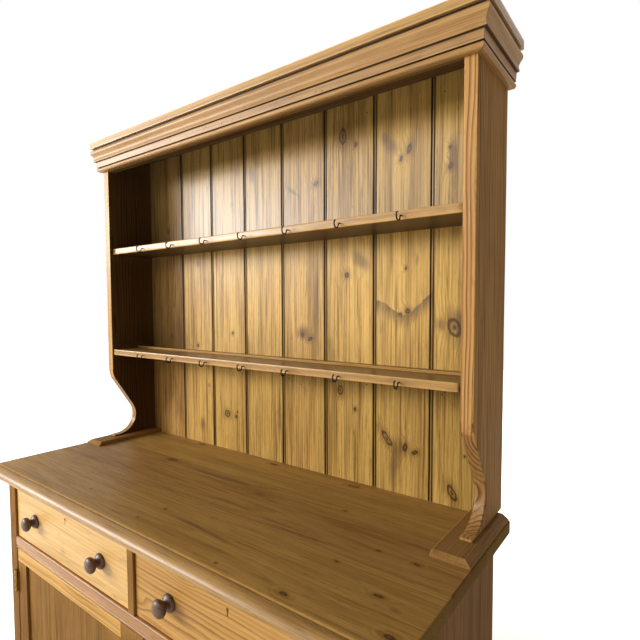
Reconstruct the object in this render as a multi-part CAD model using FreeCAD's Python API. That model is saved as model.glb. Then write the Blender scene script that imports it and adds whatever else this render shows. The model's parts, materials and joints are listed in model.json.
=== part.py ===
import FreeCAD, Part
import math
import os

from FreeCAD import Vector

# A pine dresser: a base with two drawers over two cupboards, and an open plate rack standing on its counter.
# Millimetres. X runs across the front, Y from front to back, Z up. The origin is on the floor, at the middle
# of the whole width and depth.

# Driving sizes of the whole piece
case_width = 1245.0
case_depth = 451.0
counter_height = 860.0
counter_thickness = 26.0
counter_end_overhang = 25.0
counter_front_overhang = 41.0
counter_rear_overhang = 27.0
rack_rear_overhang = 23.0
rack_depth = 187.0
rack_height = 990.0

# Shared fits and overruns
overrun = 5.0
joint_depth = 8.0
running_gap = 0.2
spindle_clearance = 0.1

# Base carcase
side_thickness = 22.0
side_front_board = 210.0
frame_thickness = 22.0
post_width = 39.0
rail_depth = 45.0
tenon_thickness = 8.0
tenon_length = 25.0
tenon_shoulder = 4.0
upright_tenon_length = 12.0
top_rail_height = 18.0
drawer_opening_height = 160.0
mid_rail_height = 34.0
mid_rail_bead = 8.0
mid_rail_quirk = 1.6
mid_rail_round = 4.5
divider_width = 22.0
muntin_width = 88.0
plinth_height = 95.0
plinth_thickness = 18.0
plinth_chamfer = 9.0
bottom_rail_height = 50.0
door_opening_bottom = 130.0
floor_thickness = 18.0
cupboard_shelf_height = 372.0
cupboard_shelf_thickness = 18.0
cupboard_shelf_setback = 38.0
base_back_thickness = 14.0
base_back_count = 8

# Drawer runners, guides, kickers and stops
runner_width = 40.0
runner_height = 20.0
guide_height = 20.0
stop_length = 50.0
stop_depth = 18.0
stop_height = 5.0
stop_distance = 300.0

# Counter
counter_front_board = 196.0
counter_middle_board = 163.0
thumb_width = 24.0
thumb_step = 3.0
thumb_underside = 3.0

# Drawers
drawer_gap = 1.5
drawer_recess = 6.0
drawer_front_thickness = 20.0
drawer_side_thickness = 12.0
drawer_side_height = 148.0
drawer_back_thickness = 14.0
drawer_bottom_thickness = 8.0
drawer_bottom_lift = 10.0
drawer_groove = 6.0
drawer_rear_gap = 31.0
dovetail_count = 3
dovetail_lap = 6.0
dovetail_width = 30.0
dovetail_flare = 3.0
keyhole_drop = 40.0
keyhole_head_radius = 3.2
keyhole_length = 15.8
keyhole_slot = 3.2
knob_drop = 85.0
knob_distance = 336.0

# Turned knobs
knob_diameter = 37.0
knob_base_diameter = 37.0
knob_base_thickness = 9.0
knob_base_round = 4.0
knob_waist_diameter = 18.0
knob_waist_reach = 14.0
knob_head_angles = (-55.0, -20.0, 12.0, 45.0, 78.0)
knob_reach = 36.0
knob_spigot_diameter = 14.0
knob_sides = 20

# Till locks
lock_width = 58.0
lock_height = 50.0
lock_thickness = 10.0
lock_let_in = 8.0
lock_drop = 2.5
bolt_width = 14.0
bolt_thickness = 5.0
bolt_height = 26.0
bolt_throw = 6.0
bolt_clearance = 0.3

# Doors
door_gap = 2.5
door_recess = 2.0
door_thickness = 22.0
door_top_rail = 35.0
door_bottom_rail = 70.0
door_stile = 50.0
door_groove = 9.0
panel_tongue = 8.0
panel_thickness = 8.0
panel_recess = 7.0
door_knob_height = 420.0
spindle_diameter = 9.0
spindle_reach = 20.0
latch_length = 46.0
latch_width = 16.0
latch_thickness = 4.0
latch_clearance = 0.8

# Butt hinges
hinge_height = 64.0
hinge_inset = 60.0
hinge_leaf_thickness = 2.0
hinge_leaf_width = 19.0
hinge_barrel_radius = 4.0
hinge_barrel_stand = 0.4
hinge_pin_radius = 1.6
hinge_pin_clearance = 0.12
hinge_knuckle_gap = 0.3
hinge_knuckle_shares = (0.0, 0.3, 0.7, 1.0)
hinge_sides = 12

# Rack
rack_end_thickness = 25.0
rack_scoop_radius = 60.0
rack_scoop_depth = 82.0
rack_scoop_slope = 33.0
rack_shoulder_radius = 70.0
rack_toe_height = 5.0
foot_thickness = 12.0
foot_inner_width = 29.0
foot_outer_width = 22.0
foot_reach = 70.0
foot_side_bevel = 13.0
foot_front_bevel = 9.0
foot_bevel_drop = 9.0
foot_arris = 2.5
shelf_housing = 8.0
lower_shelf_top = 308.5
lower_shelf_thickness = 18.5
lower_shelf_setback = 4.0
upper_shelf_top = 644.5
upper_shelf_thickness = 19.0
upper_shelf_setback = 11.0
plate_strip_width = 8.0
plate_strip_height = 6.0
plate_strip_from_back = 58.0

# Matched back boards of the rack
backboard_front = 158.5
backboard_thickness = 18.0
backboard_pitch = 148.7
backboard_count = 8
backboard_joint_offset = 28.0
tongue_length = 6.0
tongue_thickness = 6.0
tongue_gap = 1.2
bead_radius = 3.0
bead_quirk = 1.2

# Cornice: the reach of each member from the case, and its height, from the bottom up
cornice_bead_reach = 16.0
cornice_bead_radius = 6.0
cornice_quirk = 1.5
fascia_foot_reach = 15.5
fascia_head_reach = 16.5
fascia_height = 18.0
fillet_reach = 22.0
fillet_height = 5.0
ogee_hollow_reach = 20.9
ogee_swell_reach = 29.0
ogee_head_reach = 26.5
ogee_height = 30.0
ogee_hollow_share = 0.24
ogee_middle_share = 0.51
ogee_swell_share = 0.76
groove_reach = 22.0
groove_height = 6.5
cornice_cap_height = 19.0
cornice_cap_reach = 30.0
cornice_cap_width = 62.0
frieze_thickness = 22.0
frieze_lap = 3.0
dust_board_thickness = 14.0

# Cup hooks
hook_count = 7
hook_pitch = 149.0
hook_offset = 22.0
hook_lift = 7.0
hook_wire_radius = 1.6
hook_wire_sides = 6
hook_screw_length = 10.0
hook_neck = 4.0
hook_bend_radius = 2.5
hook_loop_radius = 8.0
hook_rise = 3.0
hook_curl_radius = 5.0
hook_curl_angle = 100.0
hook_bend_steps = 1
hook_loop_steps = 5
hook_curl_steps = 2

# Places worked out from the sizes above: left and right, front and rear, low and high limits
overall_depth = counter_front_overhang + case_depth + counter_rear_overhang + rack_rear_overhang
counter_front_y = -overall_depth / 2
face_y = counter_front_y + counter_front_overhang
frame_rear_y = face_y + frame_thickness
rail_rear_y = face_y + rail_depth
base_rear_y = face_y + case_depth
base_back_y = base_rear_y - base_back_thickness
counter_rear_y = base_rear_y + counter_rear_overhang
rack_rear_y = counter_rear_y + rack_rear_overhang
rack_front_y = rack_rear_y - rack_depth
case_half = case_width / 2
side_inner_x = case_half - side_thickness
post_inner_x = case_half - post_width
counter_underside = counter_height - counter_thickness
drawer_opening_top = counter_underside - top_rail_height
drawer_opening_bottom = drawer_opening_top - drawer_opening_height
door_opening_top = drawer_opening_bottom - mid_rail_height
rack_inner_x = case_half - rack_end_thickness
rack_top = counter_height + rack_height
foot_top = counter_height + foot_thickness
cap_bottom = rack_top - cornice_cap_height
fillet_foot = 2 * cornice_bead_radius + cornice_quirk + fascia_height
moulding_height = fillet_foot + fillet_height + ogee_height + groove_height
cornice_bottom = cap_bottom - moulding_height
backboard_y = rack_front_y + backboard_front
backboard_edge_x = rack_inner_x + shelf_housing

# Places of a drawer and a door at the right of the middle
drawer_left_x = divider_width / 2 + drawer_gap
drawer_right_x = post_inner_x - drawer_gap
drawer_centre_x = (drawer_left_x + drawer_right_x) / 2
drawer_face_y = face_y + drawer_recess
drawer_front_rear_y = drawer_face_y + drawer_front_thickness
drawer_rear_y = base_back_y - drawer_rear_gap
drawer_bottom_z = drawer_opening_bottom + running_gap
drawer_front_low = drawer_opening_bottom + drawer_gap
drawer_front_high = drawer_opening_top - drawer_gap
drawer_side_high = drawer_bottom_z + drawer_side_height
knob_z = drawer_front_high - knob_drop
door_left_x = muntin_width / 2 + door_gap
door_right_x = post_inner_x - door_gap
door_face_y = face_y + door_recess
door_rear_y = door_face_y + door_thickness
door_low = door_opening_bottom + door_gap
door_high = door_opening_top - door_gap
hinge_axis_x = post_inner_x - door_gap / 2
hinge_axis_y = face_y - hinge_barrel_radius - hinge_barrel_stand
hinge_lows = (door_low + hinge_inset, door_high - hinge_inset - hinge_height)


def block(x0, x1, y0, y1, z0, z1):
    """A rectangular piece of wood between three pairs of limits."""
    return Part.makeBox(x1 - x0, y1 - y0, z1 - z0, Vector(x0, y0, z0))


def rod(radius, start, end):
    """A round bar from one point to another."""
    along = end - start
    return Part.makeCylinder(radius, along.Length, start, along)


def extrude(edges, along):
    """A solid from closed edges and the direction and length it runs."""
    return Part.Face(Part.Wire(edges)).extrude(along)


def flat_face(corners):
    return Part.Face(Part.makePolygon(corners + corners[:1]))


def prism(points, along):
    """A solid from the corners of a flat outline."""
    return flat_face(points).extrude(along)


def line(start, end):
    return Part.LineSegment(start, end).toShape()


def arc(start, middle, end):
    return Part.Arc(start, middle, end).toShape()


def mirrored(shape):
    """The same piece on the other side of the dresser."""
    return shape.mirror(Vector(0, 0, 0), Vector(1, 0, 0))


def save(name, *solids):
    """One node: a solid, or like pieces as separate solids."""
    shape = solids[0] if len(solids) == 1 else Part.makeCompound(list(solids))
    shape.exportStep("parts/" + name + ".step")


def ring(radius, sides, centre, across, along):
    """The corners of equal flats round a centre, in the plane of two unit directions."""
    corners = []
    for index in range(sides):
        angle = 2 * math.pi * index / sides
        corners.append(centre + across * (radius * math.cos(angle)) + along * (radius * math.sin(angle)))
    return corners


def ringed_solid(rings):
    """A solid of flat faces between neighbouring rings of corners."""
    faces = [flat_face(rings[0]), flat_face(rings[-1])]
    for near, far in zip(rings, rings[1:]):
        for index in range(len(near)):
            following = (index + 1) % len(near)
            faces.append(flat_face([near[index], near[following], far[following], far[index]]))
    return Part.makeSolid(Part.Shell(faces))


def knob(centre):
    """A turned knob drawn with flats all round: a disc on the face at centre, a waist and a rounded head."""
    base = knob_base_diameter / 2
    waist = knob_waist_diameter / 2
    head = knob_diameter / 2
    middle = (knob_waist_reach + knob_reach) / 2
    depth = knob_reach - middle
    profile = [(base, 0), (base, knob_base_thickness - knob_base_round),
               (base - knob_base_round, knob_base_thickness),
               (waist, knob_base_thickness + knob_base_round / 2), (waist, knob_waist_reach)]
    for degrees in knob_head_angles:
        angle = math.radians(degrees)
        profile.append((head * math.cos(angle), middle + depth * math.sin(angle)))
    rings = [ring(radius, knob_sides, centre - Vector(0, reach, 0), Vector(1, 0, 0), Vector(0, 0, 1))
             for radius, reach in profile]
    return ringed_solid(rings)


def drawer_knob(centre):
    """A knob with the spigot that fixes it through a drawer front."""
    spigot = rod(knob_spigot_diameter / 2, centre, centre + Vector(0, drawer_front_thickness, 0))
    return knob(centre).fuse(spigot).removeSplitter()


# Face frame of the base

def upright_tenons(half_width, z0, z1):
    """Tenons at the foot and head of an upright, set in from its edges."""
    y0 = face_y + (frame_thickness - tenon_thickness) / 2
    width = half_width - tenon_shoulder
    return [block(-width, width, y0, y0 + tenon_thickness, z0 - upright_tenon_length, z0),
            block(-width, width, y0, y0 + tenon_thickness, z1, z1 + upright_tenon_length)]


def rail_tenons(z0, z1):
    """Tenons at both ends of a rail between the corner posts."""
    y0 = face_y + (frame_thickness - tenon_thickness) / 2
    low = z0 + tenon_shoulder
    high = z1 - tenon_shoulder
    right = block(post_inner_x, post_inner_x + tenon_length, y0, y0 + tenon_thickness, low, high)
    return [right, mirrored(right)]


def build_face_frame():
    divider_tenons = upright_tenons(divider_width / 2, drawer_opening_bottom, drawer_opening_top)
    muntin_tenons = upright_tenons(muntin_width / 2, door_opening_bottom, door_opening_top)
    top_tenons = rail_tenons(drawer_opening_top, counter_underside)
    mid_tenons = rail_tenons(door_opening_top, drawer_opening_bottom)
    bottom_tenons = rail_tenons(door_opening_bottom - bottom_rail_height, door_opening_bottom)

    post = block(post_inner_x, case_half, face_y, frame_rear_y, 0, counter_underside)
    post = post.cut([tenons[0] for tenons in (top_tenons, mid_tenons, bottom_tenons)])
    post = post.cut(hinge_recesses(post_inner_x, 1))
    save("corner_posts", post, mirrored(post))

    top_rail = block(-post_inner_x, post_inner_x, face_y, rail_rear_y, drawer_opening_top, counter_underside)
    top_rail = top_rail.fuse(top_tenons).cut(divider_tenons[1]).cut(bolt_mortises()).removeSplitter()
    save("top_rail", top_rail)

    divider = block(-divider_width / 2, divider_width / 2, face_y, frame_rear_y,
                    drawer_opening_bottom, drawer_opening_top)
    save("drawer_divider", divider.fuse(divider_tenons).removeSplitter())

    mid_rail = beaded_rail().fuse(mid_tenons).cut([divider_tenons[0], muntin_tenons[1]]).removeSplitter()
    save("mid_rail", mid_rail)

    muntin = block(-muntin_width / 2, muntin_width / 2, face_y, frame_rear_y,
                   door_opening_bottom, door_opening_top)
    save("centre_muntin", muntin.fuse(muntin_tenons).removeSplitter())

    bottom_rail = block(-post_inner_x, post_inner_x, face_y, frame_rear_y,
                        door_opening_bottom - bottom_rail_height, door_opening_bottom)
    save("bottom_rail", bottom_rail.fuse(bottom_tenons).cut(muntin_tenons[0]).removeSplitter())


def beaded_rail():
    """The rail under the drawers: its upper front arris rounded, a bead and its quirk along the lower one."""
    low = door_opening_top
    high = drawer_opening_bottom
    bead = mid_rail_bead / 2
    bead_top = low + mid_rail_bead
    quirk_top = bead_top + mid_rail_quirk
    round_in = mid_rail_round * (1 - math.sqrt(0.5))

    def at(depth, z):
        return Vector(-post_inner_x, face_y + depth, z)

    edges = [arc(at(mid_rail_round, high), at(round_in, high - round_in), at(0, high - mid_rail_round)),
             line(at(0, high - mid_rail_round), at(0, quirk_top)),
             line(at(0, quirk_top), at(bead, quirk_top)),
             line(at(bead, quirk_top), at(bead, bead_top)),
             arc(at(bead, bead_top), at(0, low + bead), at(bead, low)),
             line(at(bead, low), at(rail_depth, low)),
             line(at(rail_depth, low), at(rail_depth, high)),
             line(at(rail_depth, high), at(mid_rail_round, high))]
    return extrude(edges, Vector(2 * post_inner_x, 0, 0))


# Carcase behind the face frame

def build_carcase():
    floor_z = door_opening_bottom - floor_thickness
    shelf_top = cupboard_shelf_height + cupboard_shelf_thickness
    shelf_front_y = frame_rear_y + cupboard_shelf_setback
    housed_x = side_inner_x + joint_depth
    floor_board = block(-housed_x, housed_x, frame_rear_y, base_back_y, floor_z, door_opening_bottom)
    shelf = block(-housed_x, housed_x, shelf_front_y, base_back_y, cupboard_shelf_height, shelf_top)
    back = block(-housed_x, housed_x, base_back_y, base_rear_y, floor_z, counter_underside)

    side = block(side_inner_x, case_half, frame_rear_y, base_rear_y, 0, counter_underside)
    side = side.cut([floor_board, shelf, back])
    split_y = frame_rear_y + side_front_board
    behind = block(side_inner_x - overrun, case_half + overrun, split_y, base_rear_y + overrun,
                   -overrun, counter_underside + overrun)
    side_boards = [side.cut(behind), side.common(behind)]
    save("base_side_right", *side_boards)
    save("base_side_left", *[mirrored(board) for board in side_boards])
    save("cupboard_floor", floor_board)
    save("cupboard_shelf", shelf)

    pitch = 2 * housed_x / base_back_count
    boards = []
    for index in range(base_back_count):
        left = -housed_x + index * pitch
        last = index == base_back_count - 1
        boards.append(matched_board(left, left + pitch, base_back_y, base_back_thickness, 0,
                                    index > 0, not last, floor_z, counter_underside))
    save("base_backboards", *boards)


def matched_board(left, right, front, thickness, bead, grooved, tongued, low, high):
    """An upright board grooved on its left edge, and on its right edge tongued and, if wanted, beaded."""
    middle = front + thickness / 2
    half_tongue = tongue_thickness / 2
    board_right = right - tongue_gap if tongued else right
    board = block(left, board_right, front, front + thickness, low, high)
    if grooved:
        board = board.cut(block(left - overrun, left + tongue_length, middle - half_tongue,
                                middle + half_tongue, low - overrun, high + overrun))
    if tongued:
        if bead > 0:
            board = board.cut(bead_waste(board_right, front, bead, low, high))
        board = board.fuse(block(board_right, right + tongue_length - tongue_gap, middle - half_tongue,
                                 middle + half_tongue, low, high)).removeSplitter()
    return board


def bead_waste(right, front, bead, low, high):
    """What a beading plane takes off a front arris: the quirk, and the corners beside the round."""
    z = low - overrun
    height = Vector(0, 0, high - low + 2 * overrun)
    quirk_left = right - 2 * bead - bead_quirk
    quirk = block(quirk_left, quirk_left + bead_quirk, front - overrun, front + bead, z, z + height.z)
    outside = block(quirk_left + bead_quirk, right + overrun, front - overrun, front + bead, z, z + height.z)
    core = Part.makeCylinder(bead, height.z, Vector(right - bead, front + bead, z))
    return quirk.fuse(outside.cut(core))


def build_plinth():
    """Three mitred boards planted round the foot of the base, with a chamfered top edge."""
    reach = plinth_thickness
    section = [(0, 0), (reach, 0), (reach, plinth_height - plinth_chamfer),
               (reach - plinth_chamfer, plinth_height), (0, plinth_height)]
    front, right, left = mitred_set(polygon_section(section), reach, face_y, base_rear_y, 0)
    save("plinth", front, right, left)


def build_runners():
    """Runners under the drawer sides, guides beside them, kickers over them, and stops behind the fronts."""
    outer = side_inner_x - runner_width
    half_divider = divider_width / 2
    low = drawer_opening_bottom - runner_height
    high = drawer_opening_bottom + guide_height
    side_runner = block(outer, side_inner_x, frame_rear_y, base_back_y, low, drawer_opening_bottom)
    side_runner = side_runner.cut(block(-post_inner_x, post_inner_x, face_y, rail_rear_y,
                                        door_opening_top, drawer_opening_bottom))
    centre_runner = block(-runner_width, runner_width, rail_rear_y, base_back_y, low, drawer_opening_bottom)
    side_guide = block(post_inner_x, side_inner_x, frame_rear_y, base_back_y, drawer_opening_bottom, high)
    centre_guide = block(-half_divider, half_divider, frame_rear_y, base_back_y, drawer_opening_bottom, high)
    side_kicker = block(outer, side_inner_x, rail_rear_y, base_back_y, drawer_opening_top, counter_underside)
    centre_kicker = block(-runner_width, runner_width, rail_rear_y, base_back_y,
                          drawer_opening_top, counter_underside)
    save("drawer_runners", side_runner, centre_runner, mirrored(side_runner))
    save("drawer_guides_and_kickers", side_guide, centre_guide, mirrored(side_guide),
         side_kicker, centre_kicker, mirrored(side_kicker))

    front = face_y + drawer_recess + drawer_front_thickness + running_gap
    centre = (half_divider + post_inner_x) / 2
    stops = []
    for place in (centre - stop_distance / 2, centre + stop_distance / 2):
        stop = block(place - stop_length / 2, place + stop_length / 2, front, front + stop_depth,
                     drawer_opening_bottom, drawer_opening_bottom + stop_height)
        stops += [stop, mirrored(stop)]
    save("drawer_stops", *stops)


# Counter

def build_counter():
    """Three boards glued edge to edge, the front one worked with a thumb moulding."""
    half_length = case_half + counter_end_overhang
    x = -half_length
    first_joint = counter_front_y + counter_front_board
    second_joint = first_joint + counter_middle_board
    step_y = counter_front_y + thumb_width
    step_z = counter_height - thumb_step
    foot_z = counter_underside + thumb_underside
    diagonal = math.sqrt(0.5)
    bulge = Vector(x, step_y - thumb_width * diagonal, foot_z + (step_z - foot_z) * diagonal)
    corner = [Vector(x, first_joint, counter_underside), Vector(x, first_joint, counter_height),
              Vector(x, step_y, counter_height), Vector(x, step_y, step_z),
              Vector(x, counter_front_y, foot_z),
              Vector(x, counter_front_y + thumb_underside, counter_underside)]
    edges = [line(corner[0], corner[1]), line(corner[1], corner[2]), line(corner[2], corner[3]),
             arc(corner[3], bulge, corner[4]), line(corner[4], corner[5]), line(corner[5], corner[0])]
    save("counter_front_board", extrude(edges, Vector(2 * half_length, 0, 0)))
    save("counter_middle_board", block(-half_length, half_length, first_joint, second_joint,
                                       counter_underside, counter_height))
    save("counter_rear_board", block(-half_length, half_length, second_joint, counter_rear_y,
                                     counter_underside, counter_height))


# Drawers

def dovetails(x0, x1, y0, y1):
    """The tails of one corner: they widen away from the shoulder at y1 to their ends at y0."""
    pitch = drawer_side_height / dovetail_count
    tails = []
    for index in range(dovetail_count):
        centre = drawer_bottom_z + (index + 0.5) * pitch
        narrow = dovetail_width / 2 - dovetail_flare
        wide = dovetail_width / 2
        outline = [Vector(x0, y1, centre - narrow), Vector(x0, y0, centre - wide),
                   Vector(x0, y0, centre + wide), Vector(x0, y1, centre + narrow)]
        tails.append(prism(outline, Vector(x1 - x0, 0, 0)))
    return tails


def keyhole(x, y0, y1):
    """A bare keyhole: a round head over a narrow slot, cut from front to back."""
    top = drawer_opening_top - keyhole_drop + keyhole_length / 2
    centre_z = top - keyhole_head_radius
    round_head = rod(keyhole_head_radius, Vector(x, y0, centre_z), Vector(x, y1, centre_z))
    slot = block(x - keyhole_slot / 2, x + keyhole_slot / 2, y0, y1, top - keyhole_length, centre_z)
    return round_head.fuse(slot)


def lock_block(clearance):
    """The space of a till lock's case, let into the back of a drawer front."""
    high = drawer_front_high - lock_drop + clearance
    half = lock_width / 2 + clearance
    front = drawer_front_rear_y - lock_let_in - clearance
    return block(drawer_centre_x - half, drawer_centre_x + half, front,
                 drawer_front_rear_y - lock_let_in + lock_thickness,
                 high - lock_height - 2 * clearance, high)


def bolt_block(clearance, low_extra, high_extra):
    """The bolt of a till lock, or with a clearance the way that it slides in."""
    half = bolt_width / 2 + clearance
    middle = drawer_front_rear_y - lock_let_in + lock_thickness / 2
    high = drawer_front_high
    return block(drawer_centre_x - half, drawer_centre_x + half,
                 middle - bolt_thickness / 2 - clearance, middle + bolt_thickness / 2 + clearance,
                 high - bolt_height - low_extra, high + high_extra)


def bolt_mortises():
    """Where the bolts of both drawer locks rise into the top rail."""
    rise = drawer_gap + bolt_throw + bolt_clearance
    way = bolt_block(bolt_clearance, 0, rise)
    return [way, mirrored(way)]


def build_drawer(side_name, place):
    """One drawer, built at the right of the divider and placed by the function given."""
    left, right = drawer_left_x, drawer_right_x
    inner_left = left + drawer_side_thickness
    inner_right = right - drawer_side_thickness
    bottom_low = drawer_bottom_z + drawer_bottom_lift
    bottom_high = bottom_low + drawer_bottom_thickness
    lap_y = drawer_face_y + dovetail_lap
    back_y = drawer_rear_y - drawer_back_thickness

    bottom = block(inner_left - drawer_groove, inner_right + drawer_groove,
                   drawer_front_rear_y - drawer_groove, drawer_rear_y, bottom_low, bottom_high)
    front_tails = (dovetails(left, inner_left, lap_y, drawer_front_rear_y)
                   + dovetails(inner_right, right, lap_y, drawer_front_rear_y))
    back_tails = (rear_dovetails(left, inner_left, back_y) + rear_dovetails(inner_right, right, back_y))

    front = block(left, right, drawer_face_y, drawer_front_rear_y, drawer_front_low, drawer_front_high)
    front = front.cut(front_tails).cut(bottom)
    front = front.cut(lock_block(spindle_clearance)).cut(bolt_block(bolt_clearance, 0, overrun))
    front = front.cut(keyhole(drawer_centre_x, drawer_face_y - overrun, drawer_front_rear_y + overrun))
    knob_places = [Vector(drawer_centre_x + offset, drawer_face_y, knob_z)
                   for offset in (-knob_distance / 2, knob_distance / 2)]
    bore = knob_spigot_diameter / 2 + spindle_clearance
    for spot in knob_places:
        front = front.cut(rod(bore, spot - Vector(0, overrun, 0),
                              spot + Vector(0, drawer_front_thickness + overrun, 0)))

    sides = []
    for x0, x1 in ((left, inner_left), (inner_right, right)):
        board = block(x0, x1, drawer_front_rear_y, back_y, drawer_bottom_z, drawer_side_high)
        tails = dovetails(x0, x1, lap_y, drawer_front_rear_y) + rear_dovetails(x0, x1, back_y)
        sides.append(board.fuse(tails).cut(bottom).removeSplitter())

    back = block(left, right, back_y, drawer_rear_y, bottom_high, drawer_side_high)
    back = back.cut(back_tails)
    lock = lock_block(0).cut(bolt_block(bolt_clearance, overrun, overrun))
    lock = lock.cut(keyhole(drawer_centre_x, drawer_face_y, bolt_block(0, 0, 0).BoundBox.YMin))
    bolt = bolt_block(0, 0, 0)

    save("drawer_" + side_name + "_front", place(front))
    save("drawer_" + side_name + "_sides", *[place(board) for board in sides])
    save("drawer_" + side_name + "_back", place(back))
    save("drawer_" + side_name + "_bottom", place(bottom))
    save("drawer_" + side_name + "_knobs", *[place(drawer_knob(spot)) for spot in knob_places])
    save("drawer_" + side_name + "_lock_case", place(lock))
    save("drawer_" + side_name + "_lock_bolt", place(bolt))


def rear_dovetails(x0, x1, shoulder_y):
    """The tails at a side's rear end, which pass through the back."""
    turn = Vector(0, 1, 0)
    tails = dovetails(x0, x1, shoulder_y - drawer_back_thickness, shoulder_y)
    return [tail.mirror(Vector(0, shoulder_y, 0), turn) for tail in tails]


# Doors

def hinge_leaf(edge_x, outward, z0, z1):
    """A leaf let in flush at an edge: outward is 1 where the wood is at higher x, or -1."""
    x0, x1 = sorted((edge_x, edge_x + outward * hinge_leaf_thickness))
    return block(x0, x1, hinge_axis_y, door_face_y + hinge_leaf_width, z0, z1)


def hinge_recesses(edge_x, outward):
    """The recesses that take the leaves of both hinges in one edge."""
    return [hinge_leaf(edge_x, outward, low, low + hinge_height) for low in hinge_lows]


def hinge_half(edge_x, outward, low, knuckles):
    """One leaf of a butt hinge with its own knuckles on the common axis."""
    leaf = hinge_leaf(edge_x, outward, low, low + hinge_height)
    bore = hinge_bar(hinge_pin_radius + hinge_pin_clearance, low - overrun, low + hinge_height + overrun)
    room = hinge_barrel_radius + hinge_knuckle_gap
    shares = list(zip(hinge_knuckle_shares, hinge_knuckle_shares[1:]))
    barrels = []
    for index, (start, end) in enumerate(shares):
        z0 = low + hinge_height * start + hinge_knuckle_gap / 2
        z1 = low + hinge_height * end - hinge_knuckle_gap / 2
        if index in knuckles:
            barrels.append(hinge_bar(hinge_barrel_radius, z0, z1))
        else:
            leaf = leaf.cut(hinge_bar(room, z0 - hinge_knuckle_gap, z1 + hinge_knuckle_gap))
    return leaf.fuse(barrels).cut(bore).removeSplitter()


def hinge_pin(low):
    """A pin as long as the barrel."""
    return hinge_bar(hinge_pin_radius, low, low + hinge_height)


def hinge_bar(radius, z0, z1):
    """An upright bar about the hinge axis, drawn with flats all round."""
    centre = Vector(hinge_axis_x, hinge_axis_y, z0)
    return prism(ring(radius, hinge_sides, centre, Vector(1, 0, 0), Vector(0, 1, 0)), Vector(0, 0, z1 - z0))


def build_fixed_hinges():
    leaves = [hinge_half(post_inner_x, 1, low, (0, 2)) for low in hinge_lows]
    pins = [hinge_pin(low) for low in hinge_lows]
    save("post_hinge_leaves", *leaves, *[mirrored(leaf) for leaf in leaves])
    save("hinge_pins", *pins, *[mirrored(pin) for pin in pins])


def build_door(side_name, place):
    """One panelled door, built at the right of the muntin and placed by the function given."""
    left, right = door_left_x, door_right_x
    panel_y = door_face_y + panel_recess
    rail_low = door_low + door_bottom_rail
    rail_high = door_high - door_top_rail
    stile_left = left + door_stile
    stile_right = right - door_stile
    panel_rear_y = panel_y + panel_thickness
    lower_groove = block(left - overrun, right + overrun, panel_y, panel_rear_y,
                         rail_low - door_groove, rail_low + overrun)
    upper_groove = block(left - overrun, right + overrun, panel_y, panel_rear_y,
                         rail_high - overrun, rail_high + door_groove)
    recesses = hinge_recesses(right, -1)
    top_rail = block(left, right, door_face_y, door_rear_y, rail_high, door_high)
    top_rail = top_rail.cut(upper_groove).cut(recesses)
    bottom_rail = block(left, right, door_face_y, door_rear_y, door_low, rail_low)
    bottom_rail = bottom_rail.cut(lower_groove).cut(recesses)
    panel = block(stile_left - panel_tongue, stile_right + panel_tongue, panel_y, panel_rear_y,
                  rail_low - panel_tongue, rail_high + panel_tongue)
    stiles = []
    for x0, inner in ((left, stile_left), (stile_right, stile_right)):
        stile = block(x0, x0 + door_stile, door_face_y, door_rear_y, rail_low, rail_high)
        stub = block(x0, x0 + door_stile, panel_y, panel_rear_y,
                     rail_low - door_groove, rail_high + door_groove)
        slot = block(inner - door_groove, inner + door_groove, panel_y, panel_rear_y,
                     rail_low - door_groove - overrun, rail_high + door_groove + overrun)
        stiles.append(stile.fuse(stub).cut(slot).cut(recesses).removeSplitter())

    spot = Vector(left + door_stile / 2, door_face_y, door_knob_height)
    spindle = spindle_diameter / 2
    bore = rod(spindle + spindle_clearance, spot - Vector(0, overrun, 0),
               spot + Vector(0, door_thickness + overrun, 0))
    stiles[0] = stiles[0].cut(bore)
    latch_y = door_rear_y + latch_clearance
    back = spot + Vector(0, door_thickness + latch_clearance, 0)
    bar = block(spot.x - latch_width / 2, spot.x + latch_width / 2, latch_y, latch_y + latch_thickness,
                spot.z + latch_width / 2 - latch_length, spot.z + latch_width / 2)
    tip = spot - Vector(0, spindle_reach, 0)
    latch = bar.fuse(rod(spindle, tip, back + Vector(0, latch_thickness, 0))).removeSplitter()
    handle = knob(spot - Vector(0, running_gap, 0)).cut(rod(spindle + spindle_clearance, tip, spot))

    save("door_" + side_name + "_rails", place(top_rail), place(bottom_rail))
    save("door_" + side_name + "_stiles", *[place(stile) for stile in stiles])
    save("door_" + side_name + "_panel", place(panel))
    leaves = [hinge_half(right, -1, low, (1,)) for low in hinge_lows]
    save("door_" + side_name + "_hinge_leaves", *[place(leaf) for leaf in leaves])
    save("door_" + side_name + "_knob", place(handle))
    save("door_" + side_name + "_latch", place(latch))


# Rack

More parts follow.
